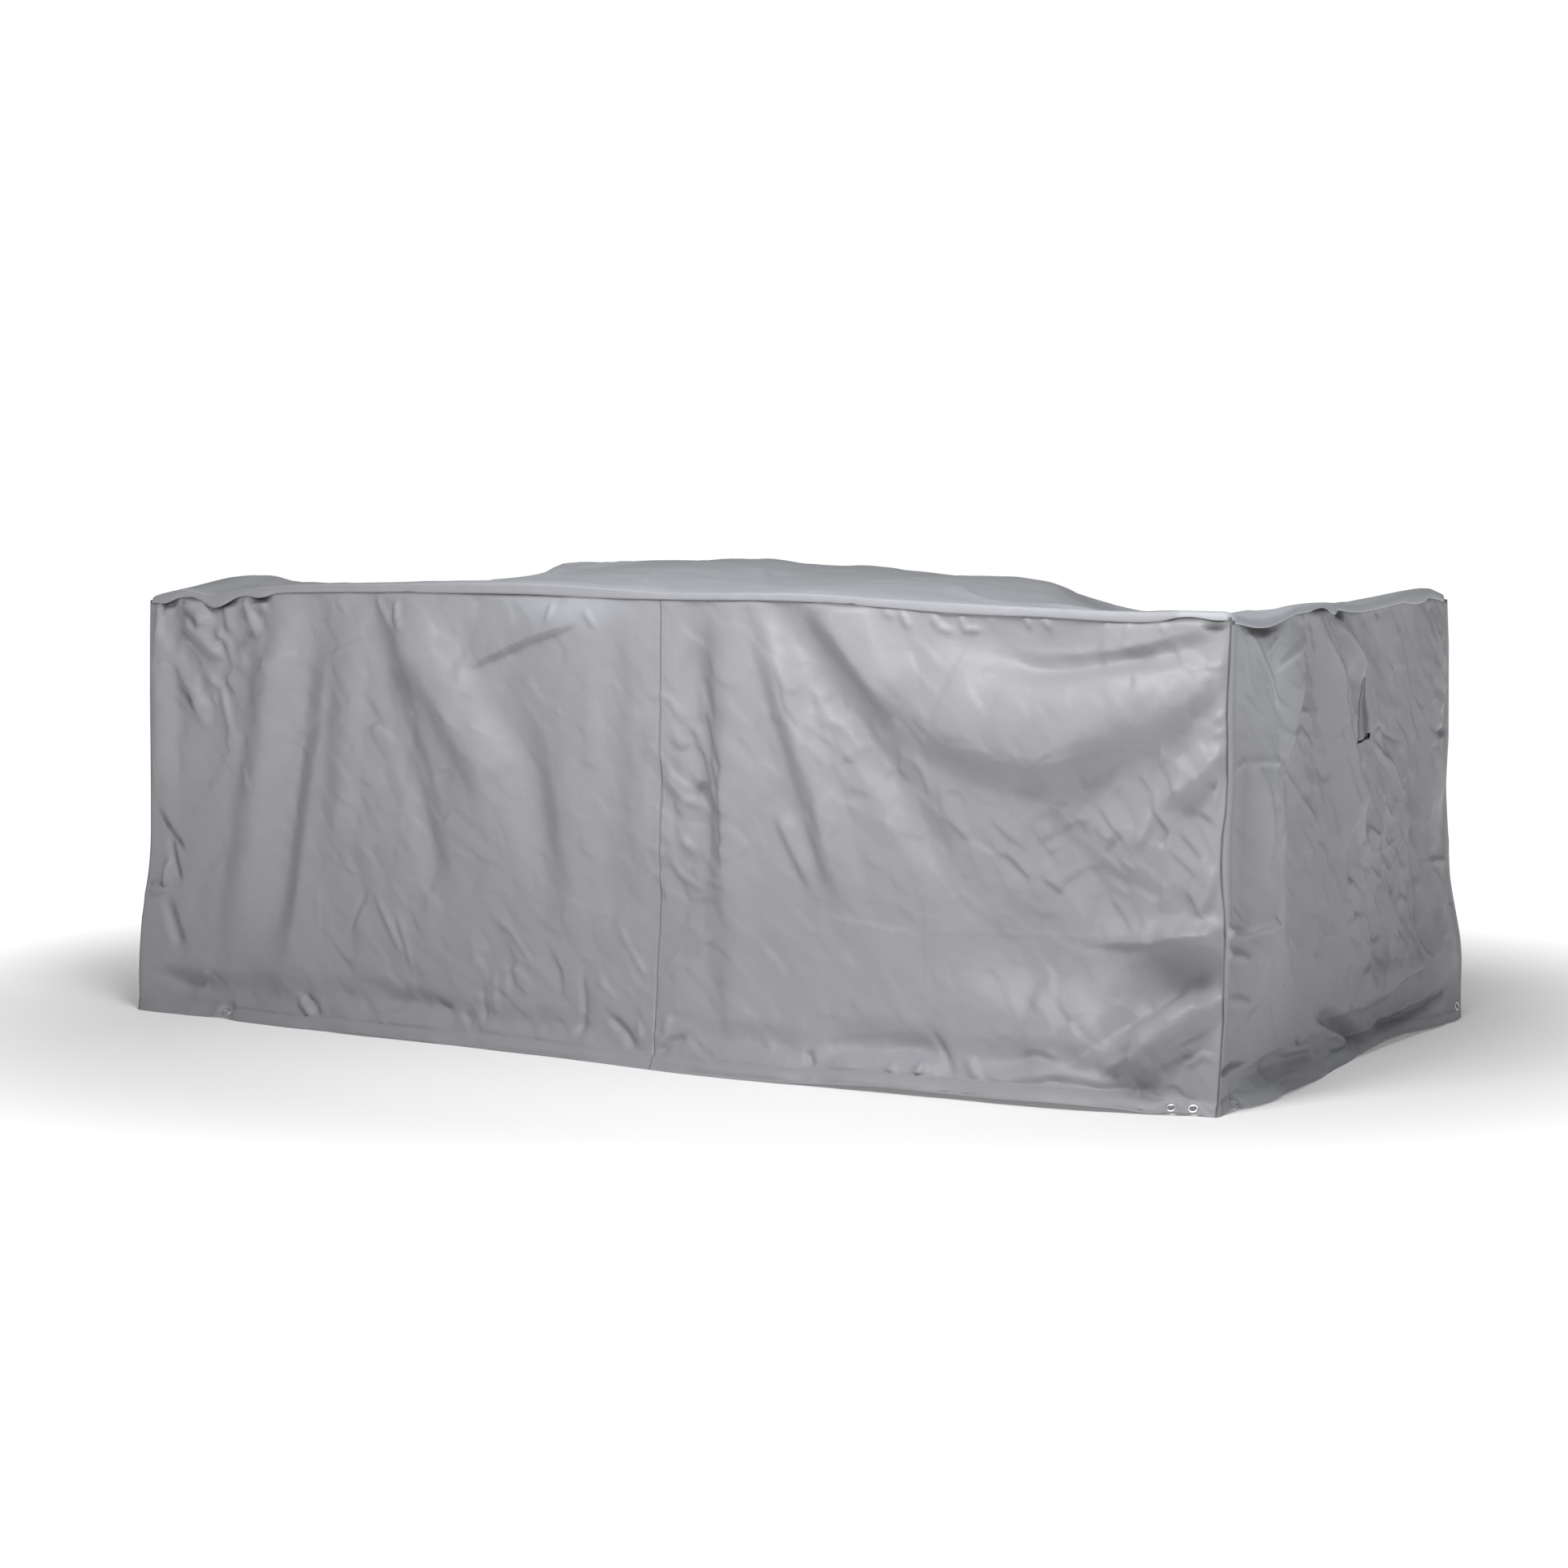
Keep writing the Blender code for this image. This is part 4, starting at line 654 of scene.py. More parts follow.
# creased facets between the folds: spacing in metres, stretch along a turned direction in degrees, how
# crisp their borders are, rise in metres, strength everywhere and in patches
wallCrumple = {
    "front": [
        {"seed": 11, "cell": 0.085, "stretch": 1.7, "turn": 62, "crisp": 6.5, "rise": 0.0168, "base": 0.28,
         "patches": [(-1.05, 0.75, 0.2, 0.2, 0.5), (0.12, 0.55, 0.16, 0.25, 0.6), (0.95, 0.5, 0.3, 0.22, 0.7),
                     (-0.62, 0.6, 0.2, 0.3, 0.3)]},
        {"seed": 12, "cell": 0.034, "stretch": 1.9, "turn": -48, "crisp": 12.0, "rise": 0.0096, "base": 0.24,
         "patches": [(-1.08, 0.76, 0.16, 0.16, 0.8), (0.13, 0.52, 0.1, 0.22, 0.9), (0.95, 0.48, 0.24, 0.16, 0.9),
                     (-0.62, 0.55, 0.16, 0.22, 0.5), (0.48, 0.62, 0.16, 0.14, 0.6), (1.15, 0.62, 0.1, 0.28, 0.8),
                     (-0.25, 0.14, 0.35, 0.1, 0.4), (1.1, 0.1, 0.2, 0.08, 0.8)]},
    ],
    "right": [
        {"seed": 21, "cell": 0.08, "stretch": 1.8, "turn": -58, "crisp": 6.5, "rise": 0.013, "base": 0.35,
         "patches": [(0.2, 0.35, 0.3, 0.25, 0.6), (-0.05, 0.75, 0.2, 0.15, 0.4)]},
        {"seed": 22, "cell": 0.032, "stretch": 2.0, "turn": -40, "crisp": 12.0, "rise": 0.008, "base": 0.3,
         "patches": [(0.25, 0.35, 0.3, 0.25, 0.6), (0.55, 0.7, 0.1, 0.2, 0.7), (-0.15, 0.7, 0.15, 0.2, 0.5)]},
    ],
    "back": [
        {"seed": 31, "cell": 0.095, "stretch": 1.7, "turn": 60, "crisp": 5.0, "rise": 0.012, "base": 0.8,
         "patches": []},
        {"seed": 32, "cell": 0.045, "stretch": 1.9, "turn": -45, "crisp": 6.0, "rise": 0.005, "base": 0.6,
         "patches": []},
    ],
    "left": [
        {"seed": 41, "cell": 0.095, "stretch": 1.7, "turn": -60, "crisp": 5.0, "rise": 0.012, "base": 0.8,
         "patches": []},
        {"seed": 42, "cell": 0.045, "stretch": 1.9, "turn": 40, "crisp": 6.0, "rise": 0.005, "base": 0.6,
         "patches": []},
    ],
}

wallFolds = {"front": cornerFan + longFolds + frontCreases + footFolds + pressFolds, "right": sideFolds,
             "back": backFolds, "left": leftFolds}

# where the wall's upper edge falls away from the lip: place, half width, depth
rimPockets = {
    "front": [(-1.178, 0.026, 0.007), (-1.035, 0.052, 0.012), (-0.93, 0.036, 0.005), (1.205, 0.03, 0.003)],
    "right": [(-0.47, 0.13, 0.009), (-0.06, 0.03, 0.004)],
    "back": [(0.7, 0.05, 0.006)],
    "left": [(0.2, 0.06, 0.007)],
}

# seams, hem and puckers in metres, and the seeds of the puckers
seamSet = {
    "fade": 0.014, "crumpleFade": 0.045,      # folds and facets die out this close to a corner
    "rimFade": 0.016,                         # and both this close to the rim
    "levelFoot": 0.14,                        # below this height they push the cloth outwards only
    "groove": 0.0018, "grooveWidth": 0.0055, "middleGroove": 0.0003,
    # the flat fell lies on the short walls' side of a corner
    "fell": 0.0016, "fellWidth": 0.019, "fellRise": 0.004, "fellFall": 0.003,
    "hem": 0.0205, "hemStep": 0.0006, "hemStepFrom": 0.001, "hemStepFade": 0.002,
    "hemGroove": 0.0008, "hemGrooveWidth": 0.0022, "hemPucker": 0.0011, "hemPuckerReach": 0.014, "hemSeed": 80,
    "rimPucker": 0.0016, "rimPuckerReach": 0.028, "rimPuckerFade": 0.008, "rimSeed": 70, "puckerLength": 0.0085,
    "pocketReach": 0.022, "pocketRound": 1.5,
}

# the folds of the two walls in view are placed as seen from here, on an upright plane through the rim
view = {"from": (3.24, -5.835, 1.0569), "plane": {"front": -0.6245, "right": 1.235}}


def seenFrom(name):
    surface, along = surfaces[name], walls[name]["along"]
    place, height = surface["place"], surface["height"]
    if name not in view["plane"]:
        return place, height
    eye, across = view["from"], 1 - along
    share = (view["plane"][name] - eye[across]) / (surface["points"][..., across] - eye[across])
    return eye[along] + (place - eye[along]) * share, eye[2] + (height - eye[2]) * share


def dressWall(name):
    surface, wall = surfaces[name], walls[name]
    place, fromEnd, belowRim = surface["place"], surface["fromEnd"], surface["belowRim"]
    overHem = surface["height"] - surface["hem"][:, None]
    seenPlace, seenHeight = seenFrom(name)
    field = foldField(seenPlace, seenHeight, wallFolds[name])
    for settings in wallCrumple[name]:
        field += crumpleField(seenPlace, seenHeight, settings) * smoothStep(fromEnd / seamSet["crumpleFade"])
    field *= smoothStep(fromEnd / seamSet["fade"]) * smoothStep(belowRim / seamSet["rimFade"])

    # the puckers under the lip and over the hem, whose upper edge is a step with a stitched groove
    cells = (seamSet["puckerLength"] / wall["cell"],)
    pucker = softNoise(place.shape[:1], cells, seamSet["rimSeed"] + len(name))[:, None]
    field += seamSet["rimPucker"] * pucker * np.exp(-(belowRim / seamSet["rimPuckerReach"]) ** 2) * smoothStep(
        belowRim / seamSet["rimPuckerFade"]) * smoothStep(fromEnd / seamSet["fade"])
    pucker = softNoise(place.shape[:1], cells, seamSet["hemSeed"] + len(name))[:, None]
    field += seamSet["hemPucker"] * pucker * np.exp(-((overHem - seamSet["hem"]) / seamSet["hemPuckerReach"]) ** 2)
    field += seamSet["hemStep"] * (
        1 - smoothStep((overHem - seamSet["hem"] + seamSet["hemStepFrom"]) / seamSet["hemStepFade"]))
    field -= seamSet["hemGroove"] * np.exp(-((overHem - seamSet["hem"]) / seamSet["hemGrooveWidth"]) ** 2)
    for atPlace, halfWidth, depth in rimPockets[name]:
        bump = np.clip(1 - ((place - atPlace) / halfWidth) ** 2, 0, 1) ** seamSet["pocketRound"]
        field -= depth * bump * np.exp(-(belowRim / seamSet["pocketReach"]) ** 2)

    # the seams at the corners and in the middle of the long walls
    if wall["along"] == 1:
        fell = smoothStep(fromEnd / seamSet["fellRise"]) * (
            1 - smoothStep((fromEnd - seamSet["fellWidth"]) / seamSet["fellFall"]))
        field += seamSet["fell"] * fell
    field -= seamSet["groove"] * np.exp(-(fromEnd / seamSet["grooveWidth"]) ** 2)
    if wall["along"] == 0:
        middle = int(np.argmin(np.abs(place[:, place.shape[1] // 2] - centreSeam["place"])))
        surface["middle"], surface["fromSeam"] = middle, np.abs(place - place[middle])
        field -= seamSet["middleGroove"] * np.exp(-(surface["fromSeam"] / seamSet["grooveWidth"]) ** 2)

    normals = latticeNormals(surface["points"], surface["flip"])
    normals[..., 2] *= smoothStep(overHem / seamSet["levelFoot"])      # the foot spreads without lifting
    for column, end in zip((0, -1), wall["ends"]):
        signX, signY = corners[end]
        normals[column] = (signX * shape["diagonal"], signY * shape["diagonal"], 0)
        field[column] = -seamSet["groove"]
    surface["points"] = surface["points"] + normals * field[..., None]


for name in walls:
    dressWall(name)


# where each eyelet is, and which way it faces
eyeletFrames = {}
for nodeName in sorted(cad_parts):
    if nodeName.startswith("eyelet_"):
        points = vertexArray(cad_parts[nodeName].data)
        middle = points.mean(0)
        axis = np.linalg.svd(points - middle, full_matrices=False)[2][2]
        eyeletFrames[nodeName] = (middle, axis if axis[2] > 0 else -axis)

# the cloth around an eyelet lies flat up to the first radius, and isn't moved past the second
flatRing = {"full": 0.0125, "none": 0.027, "deep": 0.03, "proud": 0.0004}


def seatEyelets(points):
    for middle, axis in eyeletFrames.values():
        offset = points - middle
        depth = offset @ axis
        radial = np.linalg.norm(offset - depth[..., None] * axis, axis=-1)
        near = (np.abs(depth) < flatRing["deep"]).astype(float)
        weight = near * (1 - smoothStep((radial - flatRing["full"]) / (flatRing["none"] - flatRing["full"])))
        points -= axis * ((depth - flatRing["proud"]) * weight)[..., None]
    return points


for name in walls:
    surfaces[name]["points"] = seatEyelets(surfaces[name]["points"])
    surfaces[name]["normals"] = latticeNormals(surfaces[name]["points"], surfaces[name]["flip"])
print("walls dressed")


def linkObject(name, data):
    made = bpy.data.objects.new(name, data)
    bpy.context.scene.collection.objects.link(made)
    return made


def newObject(name, mesh):
    data = bpy.data.meshes.new(name)
    mesh.to_mesh(data)
    mesh.free()
    return linkObject(name, data)


def sheetObject(name, points, flip, thickness=0.0008, masks=None, holes=()):
    # A cloth sheet on a lattice of points, with its thickness inwards. Masks are values at the points that
    # the cloth's material reads. A hole runs from one point to another, seen along an axis, with a radius.
    columns, rows = points.shape[0] - 1, points.shape[1] - 1
    mesh = bmesh.new()
    bmesh.ops.create_grid(mesh, x_segments=columns, y_segments=rows, size=0.5)
    data = bpy.data.meshes.new(name)
    mesh.to_mesh(data)
    flat = vertexArray(data)
    i = np.rint((flat[:, 0] + 0.5) * columns).astype(int)
    j = np.rint((flat[:, 1] + 0.5) * rows).astype(int)
    data.vertices.foreach_set("co", points[i, j].ravel())
    layer = data.uv_layers.new(name="cut")
    loops = np.empty(len(data.loops), np.int32)
    data.loops.foreach_get("vertex_index", loops)
    stepU = np.linalg.norm(np.diff(points, axis=0), axis=-1).mean()
    stepV = np.linalg.norm(np.diff(points, axis=1), axis=-1).mean(0)
    cutV = np.concatenate([[0], np.cumsum(stepV)])
    layer.data.foreach_set("uv", np.stack([i[loops] * stepU, cutV[j[loops]]], -1).ravel())
    # the masks: paler cloth with painted light, and painted shade along the seams
    for maskName in ("pale", "seam"):
        values = (masks or {}).get(maskName, np.zeros(points.shape[:2]))
        attribute = data.attributes.new(maskName, "FLOAT", "POINT")
        attribute.data.foreach_set("value", values[i, j].astype(np.float32))
    if flip:
        data.flip_normals()
    if len(holes):
        mesh.clear()
        mesh.from_mesh(data)
        for hole in holes:
            cutHole(mesh, *(Vector(value.tolist()) for value in hole[:3]), *hole[3:])
        mesh.to_mesh(data)
    mesh.free()
    data.shade_smooth()
    data.update()
    piece = linkObject(name, data)
    solid = piece.modifiers.new("Thickness", "SOLIDIFY")
    solid.thickness = thickness
    solid.offset = -1
    return piece


def cutHole(mesh, start, end, axis, radius, reach):
    # the faces within reach are made finer, and those within the radius are taken out
    run = end - start

    def offsetOf(point):
        offset = point - start
        if run.length > 0:
            offset -= run * min(max(offset.dot(run) / run.length_squared, 0), 1)
        return offset

    near = {vertex for vertex in mesh.verts if offsetOf(vertex.co).length < reach}
    edges = [edge for edge in mesh.edges if edge.verts[0] in near and edge.verts[1] in near]
    if not edges:
        return
    bmesh.ops.subdivide_edges(mesh, edges=edges, cuts=2, use_grid_fill=True)
    inside = []
    for face in mesh.faces:
        offset = offsetOf(face.calc_center_median())
        if offset.length < reach and (offset - axis * offset.dot(axis)).length < radius:
            inside.append(face)
    bmesh.ops.delete(mesh, geom=inside, context="FACES")


class Socket:
    # a node's output, on which + and * add Math nodes
    def __init__(self, finish, socket):
        self.finish, self.socket = finish, socket

    def math(self, operation, other):
        return self.finish.node("ShaderNodeMath", {"operation": operation}, {0: self, 1: other})

    def __add__(self, other):
        return self.math("ADD", other)

    def __mul__(self, other):
        return self.math("MULTIPLY", other)

    __radd__, __rmul__ = __add__, __mul__


class Finish:
    # a material, whose nodes are made with their settings and their sockets' values or links
    def __init__(self, name):
        self.material = bpy.data.materials.new(name)
        self.material.use_nodes = True
        self.nodes = self.material.node_tree.nodes
        self.links = self.material.node_tree.links
        self.shader = self.nodes["Principled BSDF"]

    def fill(self, socket, value):
        if isinstance(value, Socket):
            self.links.new(value.socket, socket)
        else:
            socket.default_value = value

    def node(self, kind, settings=None, sockets=None, output=0):
        made = self.nodes.new(kind)
        for key, value in (settings or {}).items():
            if key == "ramp":
                ramp = made.color_ramp
                ramp.elements[0].position, ramp.elements[0].color = value[0]
                ramp.elements[1].position, ramp.elements[1].color = value[-1]
                for position, colour in value[1:-1]:
                    ramp.elements.new(position).color = colour
            else:
                setattr(made, key, value)
        for key, value in (sockets or {}).items():
            self.fill(made.inputs[key], value)
        return Socket(self, made.outputs[output])

    def set(self, **values):
        for name, value in values.items():
            self.fill(self.shader.inputs[name.replace("_", " ")], value)
        return self.material


# colours, roughness and its spread, then for each noise its scale, share or depth in metres; the paler colour is
# paler cloth and painted light, and the near-black seam colour is painted shade
clothFinish = {
    "colour": (0.338, 0.338, 0.36, 1), "dark": (0.313, 0.313, 0.334, 1), "stops": (0.3, 0.7),
    "pale": (0.43, 0.446, 0.478, 1), "seam": (0.07, 0.068, 0.07, 1), "roughness": 0.46, "roughnessSpread": 0.12,
    "grain": 420.0, "grainShare": 0.55, "grainDepth": 0.00022, "cloud": 9.0, "cloudShare": 0.45,
    "wrinkle": 70.0, "wrinkleTwist": 0.6, "wrinkleDepth": 0.0014, "strength": 0.5,
}


def clothMaterial(name, settings):
    finish = Finish(name)
    cut = finish.node("ShaderNodeUVMap", {"uv_map": "cut"})
    grain = finish.node("ShaderNodeTexNoise", None, {"Vector": cut, "Scale": settings["grain"], "Detail": 2.0})
    cloud = finish.node("ShaderNodeTexNoise", None, {"Vector": cut, "Scale": settings["cloud"], "Detail": 5.0})
    wrinkle = finish.node("ShaderNodeTexNoise", None, {"Vector": cut, "Scale": settings["wrinkle"], "Detail": 4.0,
                                                       "Distortion": settings["wrinkleTwist"]})
    tones = [(settings["stops"][0], settings["dark"]), (settings["stops"][1], settings["colour"])]
    colour = finish.node("ShaderNodeValToRGB", {"ramp": tones},
                         {"Fac": grain * settings["grainShare"] + cloud * settings["cloudShare"]})
    # the paler colour is mixed in as paler cloth and painted light, and the near-black one as painted shade
    for maskName in ("pale", "seam"):
        mask = finish.node("ShaderNodeAttribute", {"attribute_name": maskName}, None, 2)
        colour = finish.node("ShaderNodeMix", {"data_type": "RGBA"}, {0: mask, 6: colour, 7: settings[maskName]}, 2)
    bump = finish.node("ShaderNodeBump", None, {"Strength": settings["strength"],
                                                "Distance": settings["wrinkleDepth"], "Height": wrinkle})
    bump = finish.node("ShaderNodeBump", None, {"Strength": settings["strength"],
                                                "Distance": settings["grainDepth"], "Height": grain, "Normal": bump})
    roughness = settings["roughness"] + cloud * settings["roughnessSpread"]
    return finish.set(Base_Color=colour, Roughness=roughness, Normal=bump)


cloth = clothMaterial("coatedCloth", clothFinish)


# every piece gets its material and its body, and the solids that it stands for are hidden
def finishPiece(piece, material, nodes=()):
    piece.data.materials.clear()
    piece.data.materials.append(material)
    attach(piece, "root")
    if nodes:
        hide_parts(*nodes)


# in metres: the eyelet's radii, half thickness and rolled faces, the cloth's hole for it, how far around
# the hole the cloth is made finer, and in how many of its lowest rows an eyelet can lie
eyelet = {"bore": 0.0058, "inside": 0.0003, "flange": 0.01, "half": 0.0018, "curl": 0.0009, "rollSteps": 6,
          "steps": 48, "merge": 0.00001, "hole": 0.0076, "reach": 0.024, "rows": 12}

# the edge is turned in: up and inwards from the hem line, in metres
hemEdge = {"turn": ((-0.0004, 0.001), (0.0012, 0.0019), (0.01, 0.0021))}

# paler, bluer stretches of the cloth, and painted light on the turned-out cloth just above the hems: place, height,
# reach along, reach up, strength
paleAndPaintedLightPatches = {
    "front": [(-0.17, 0.89, 0.13, 0.03, 0.8), (0.6, 0.06, 0.18, 0.02, 0.2)],
    "right": [(-0.4, 0.76, 0.11, 0.16, 0.75), (-0.4, 0.45, 0.085, 0.26, 0.55),
              (0.54, 0.54, 0.035, 0.06, 0.5), (-0.565, 0.8, 0.055, 0.1, 0.6),
              (-0.5, 0.02, 0.1, 0.03, 0.6), (0.0, 0.015, 0.55, 0.028, 0.5)],
    "back": [], "left": [],
}

# painted shadow along a narrow strip where the cloth lies double in a pressed pleat, as a path and its half widths
paintedPleatShadows = {"front": [([(-0.392, 0.764), (-0.33, 0.79), (-0.26, 0.818), (-0.15, 0.85)], 12, 11, 1000, 0.0)]}

# how strongly the masks paint shade into the corner grooves, under the lip, beside the fell, in the gaps under the
# lifted lip, along the pleat and down the middle seam, and make the fell paler, and how wide they reach in metres
maskSet = {
    "corner": 0.75, "cornerWidth": 0.003, "rim": 0.8, "rimFrom": 0.0065, "rimFade": 0.004,
    "fellPale": 0.55, "fellFade": 0.003, "fellLine": 0.3, "fellLineWidth": 0.0032,
    "pocket": 0.92, "pocketFrom": 0.01, "pocketDepth": 0.013, "pocketFade": 0.005,
    "strip": 0.3, "stripRise": 0.35, "middle": 0.08, "middleWidth": 0.0026,
}

# the vent: a tent of cloth over a slit in the short wall, sewn down along both sides and open below
vent = {
    "apex": (0.084, 0.751), "leftFoot": (0.05, 0.63), "crest": (0.099, 0.6436), "rightFoot": (0.13, 0.628),
    "slot": ((0.055, 0.6268), (0.126, 0.6325)), "slotHalf": 0.0034, "slotReach": 0.012,
    # across the mouth: share of the way, and how far the cloth stands off the wall in millimetres
    "bow": ((0.0, 0.4), (0.06, 5.0), (0.13, 9.0), (0.2, 8.0), (0.27, 3.0), (0.34, 2.0), (0.44, 5.0), (0.54, 12.5),
            (0.6, 16.0), (0.64, 15.6), (0.8, 9.0), (0.93, 3.4), (1.0, 0.4)),
    "crestShare": 0.6, "across": 44, "down": 46, "thickness": 0.001,
    # how it narrows and flattens up to its apex
    "apexWidth": 0.1, "widthTaper": 1.1, "apexBow": 0.12, "bowTaper": 0.9,
    "proud": 0.0005, "footDrop": 0.006, "footDropOver": 0.06, "ripple": 0.0025, "rippleTurns": (9, 5),
    # painted shade in the hollow beside the crest: how strong, and where across the mouth it starts and ends
    "shade": 0.62, "shadeFrom": 0.2, "shadeTo": 0.5, "shadeFade": 0.08,      # the dark hollow beside its crest
    # near black on the hood's inner faces: painted shade inside the hood
    "innerPaintedShade": (0.012, 0.011, 0.012, 1),
}


def spotOn(wallName, place, height):
    # a point of a dressed wall and its outward direction
    surface = surfaces[wallName]
    i, j = 0.0, surface["height"].shape[1] / 2
    for _ in range(3):
        row = int(round(j))
        i = float(np.interp(place, surface["place"][:, row], np.arange(surface["place"].shape[0])))
        j = float(np.interp(height, surface["height"][int(round(i))], np.arange(surface["height"].shape[1])))
    low = (min(int(i), surface["height"].shape[0] - 2), min(int(j), surface["height"].shape[1] - 2))
    shareI, shareJ = i - low[0], j - low[1]
    found = []
    for values in (surface["points"], surface["normals"]):
        edge = values[low[0], low[1]:low[1] + 2] * (1 - shareI) + values[low[0] + 1, low[1]:low[1] + 2] * shareI
        found.append(edge[0] * (1 - shareJ) + edge[1] * shareJ)
    return found


def wallMasks(name, chosen, extra):
    surface = surfaces[name]
    place, height, fromEnd, belowRim = (surface[key] for key in ("place", "height", "fromEnd", "belowRim"))
    pale = np.clip(patchMask(place, height, paleAndPaintedLightPatches[name]), 0, 1)
    # painted shade: the seam mask darkens the corner grooves, and just under the rim it paints the lip's shadow on
    # the wall
    seam = maskSet["corner"] * np.exp(-(fromEnd / maskSet["cornerWidth"]) ** 2)
    seam = np.maximum(seam, maskSet["rim"] * (1 - smoothStep((belowRim - maskSet["rimFrom"]) / maskSet["rimFade"])))
    if walls[name]["along"] == 1:
        # the fell is made paler, and a painted shade line runs along its edge
        pastFell = fromEnd - seamSet["fellWidth"]
        pale = np.maximum(pale, maskSet["fellPale"] * (1 - smoothStep(pastFell / maskSet["fellFade"])))
        seam = np.maximum(seam, maskSet["fellLine"] * np.exp(-(pastFell / maskSet["fellLineWidth"]) ** 2))
    # painted shadow in the gaps where the lip lifts off the wall
    for atPlace, halfWidth, _ in rimPockets[name]:
        bump = np.clip(1 - ((place - atPlace) / halfWidth) ** 2, 0, 1)
        below = belowRim - maskSet["pocketFrom"] - maskSet["pocketDepth"] * bump
        seam = np.maximum(seam, maskSet["pocket"] * bump * (1 - smoothStep(below / maskSet["pocketFade"])))
    # painted shadow along the pressed pleat
    if name in paintedPleatShadows:
        strip = foldField(*seenFrom(name), paintedPleatShadows[name])
        seam = np.maximum(seam, maskSet["strip"] * smoothStep(strip / maskSet["stripRise"]))
    # painted shade in the middle seam's groove
    if "fromSeam" in surface:
        seam = np.maximum(seam, maskSet["middle"] * np.exp(-(surface["fromSeam"] / maskSet["middleWidth"]) ** 2))
    masks = {}
    for key, values in (("pale", pale), ("seam", seam)):
        values = values[chosen]
        masks[key] = np.concatenate([np.repeat(values[:, :1], extra, 1), values], 1)
    return masks


def addWall(pieceName, wallName, half, nodes, flat):
    # a wall or half of one, with its edge turned in, and with holes for its eyelets and the vent
    surface = surfaces[wallName]
    chosen = slice(None)
    if half:
        chosen = slice(0, surface["middle"] + 1) if half == "left" else slice(surface["middle"], None)
    points, normals = surface["points"][chosen], surface["normals"][chosen]
    rise = points[:, 3] - points[:, 0]
    rise /= np.linalg.norm(rise, axis=-1, keepdims=True)
    turned = [points[:, 0] + rise * up - normals[:, 1] * inside for up, inside in hemEdge["turn"]]
    lattice = np.concatenate([np.stack(turned[::-1], 1), points], 1)
    holes = [(middle, middle, axis, eyelet["hole"], eyelet["reach"]) for middle, axis in eyeletFrames.values()
             if np.min(np.linalg.norm(points[:, :eyelet["rows"]] - middle, axis=-1)) < eyelet["reach"] / 2]
    if wallName == "right":
        start, end = (spotOn("right", *spot)[0] for spot in vent["slot"])
        holes.append((start, end, np.array([1.0, 0, 0]), vent["slotHalf"], vent["slotReach"]))
    piece = sheetObject(pieceName, lattice, surface["flip"], masks=wallMasks(wallName, chosen, len(turned)),
                        holes=holes)
    finishPiece(piece, cloth, nodes)


topShape = {
    "cell": 0.0095,
    "radius": 0.02,        # of the rim's corners
    # rings from the lip's lower edge to the field: inset, and share of the way from the seam up to the rim
    "rings": ((-0.0018, -0.15), (-0.0026, 0.06), (-0.0016, 0.4), (-0.0004, 0.72), (0.0022, 0.93), (0.0065, 1.02),
              (0.012, 1.04)),
    "pucker": (0.0008, 0.0016, 0.0018, 0.0012, 0.0008, 0.0005, 0.0),     # of each ring, outwards
    "puckerLength": 0.0065, "puckerSeed": 90,
    "softness": 0.02,
    "edgeInset": 0.008,     # where the top's height is read for the lip
    "above": 0.1,           # how far over the cover the probing rays start
    "reliefFrom": 0.004, "reliefFade": 0.03,      # the folds grow inwards from the rim
    "sagTo": 0.75, "sagRound": 1.5,     # share of the way up the lip that its sags reach
    # painted light on the top: how much the lip, the field and the end over the vented wall are lightened, and how
    # wide in cells
    "lipPaintedLight": 0.15, "fieldPaintedLight": 0.8, "endPaintedLight": 1.0, "lipCells": 4, "endCells": 16,
}

# creases of the top: path of (x, y), half widths, rise in millimetres, point
topFolds = [
    # hollows, from left to right
    ([(-1.0, -0.42), (-1.2, 0.1)], 130, 170, -22, 0.0),
    ([(-0.8, -0.45), (-1.08, 0.1)], 170, 170, -12, 0.0),
    ([(-0.6, -0.47), (-0.96, 0.2)], 170, 170, -22, 0.0),
    ([(-0.43, -0.48), (-0.76, 0.14)], 170, 120, -43, 0.0),
    ([(0.02, 0.1), (-0.2, 0.48)], 120, 120, -13, 0.0),
    ([(0.77, 0.02), (0.48, 0.56)], 150, 150, -26, 0.0),
    ([(1.21, -0.29), (1.11, -0.08)], 70, 60, -15, 0.0),
    ([(1.19, 0.36), (1.08, 0.6)], 80, 80, -17, 0.0),
    # low ridges between them
    ([(0.78, -0.55), (0.6, -0.36), (0.46, -0.18)], 40, 30, 9, 0.4),
    ([(0.98, -0.56), (0.8, -0.46), (0.66, -0.3)], 30, 24, 7, 0.4),
    ([(0.2, -0.5), (0.1, -0.3), (-0.02, -0.12)], 40, 34, 8, 0.3),
    ([(-0.3, -0.5), (-0.36, -0.3), (-0.34, -0.05)], 44, 30, 9, 0.4),
    ([(-0.55, -0.42), (-0.5, -0.22), (-0.42, -0.05)], 30, 40, 8, 0.3),
    ([(-0.05, -0.52), (-0.12, -0.34)], 24, 24, 6, 0.4),
    ([(-1.05, -0.5), (-1.1, -0.25), (-1.02, 0.0)], 40, 30, 8, 0.4),
    ([(-0.6, 0.4), (-0.3, 0.3), (0.05, 0.36)], 40, 34, 8, 0.3),
    ([(0.4, 0.45), (0.7, 0.25), (1.0, 0.2)], 40, 34, 8, 0.3),
]

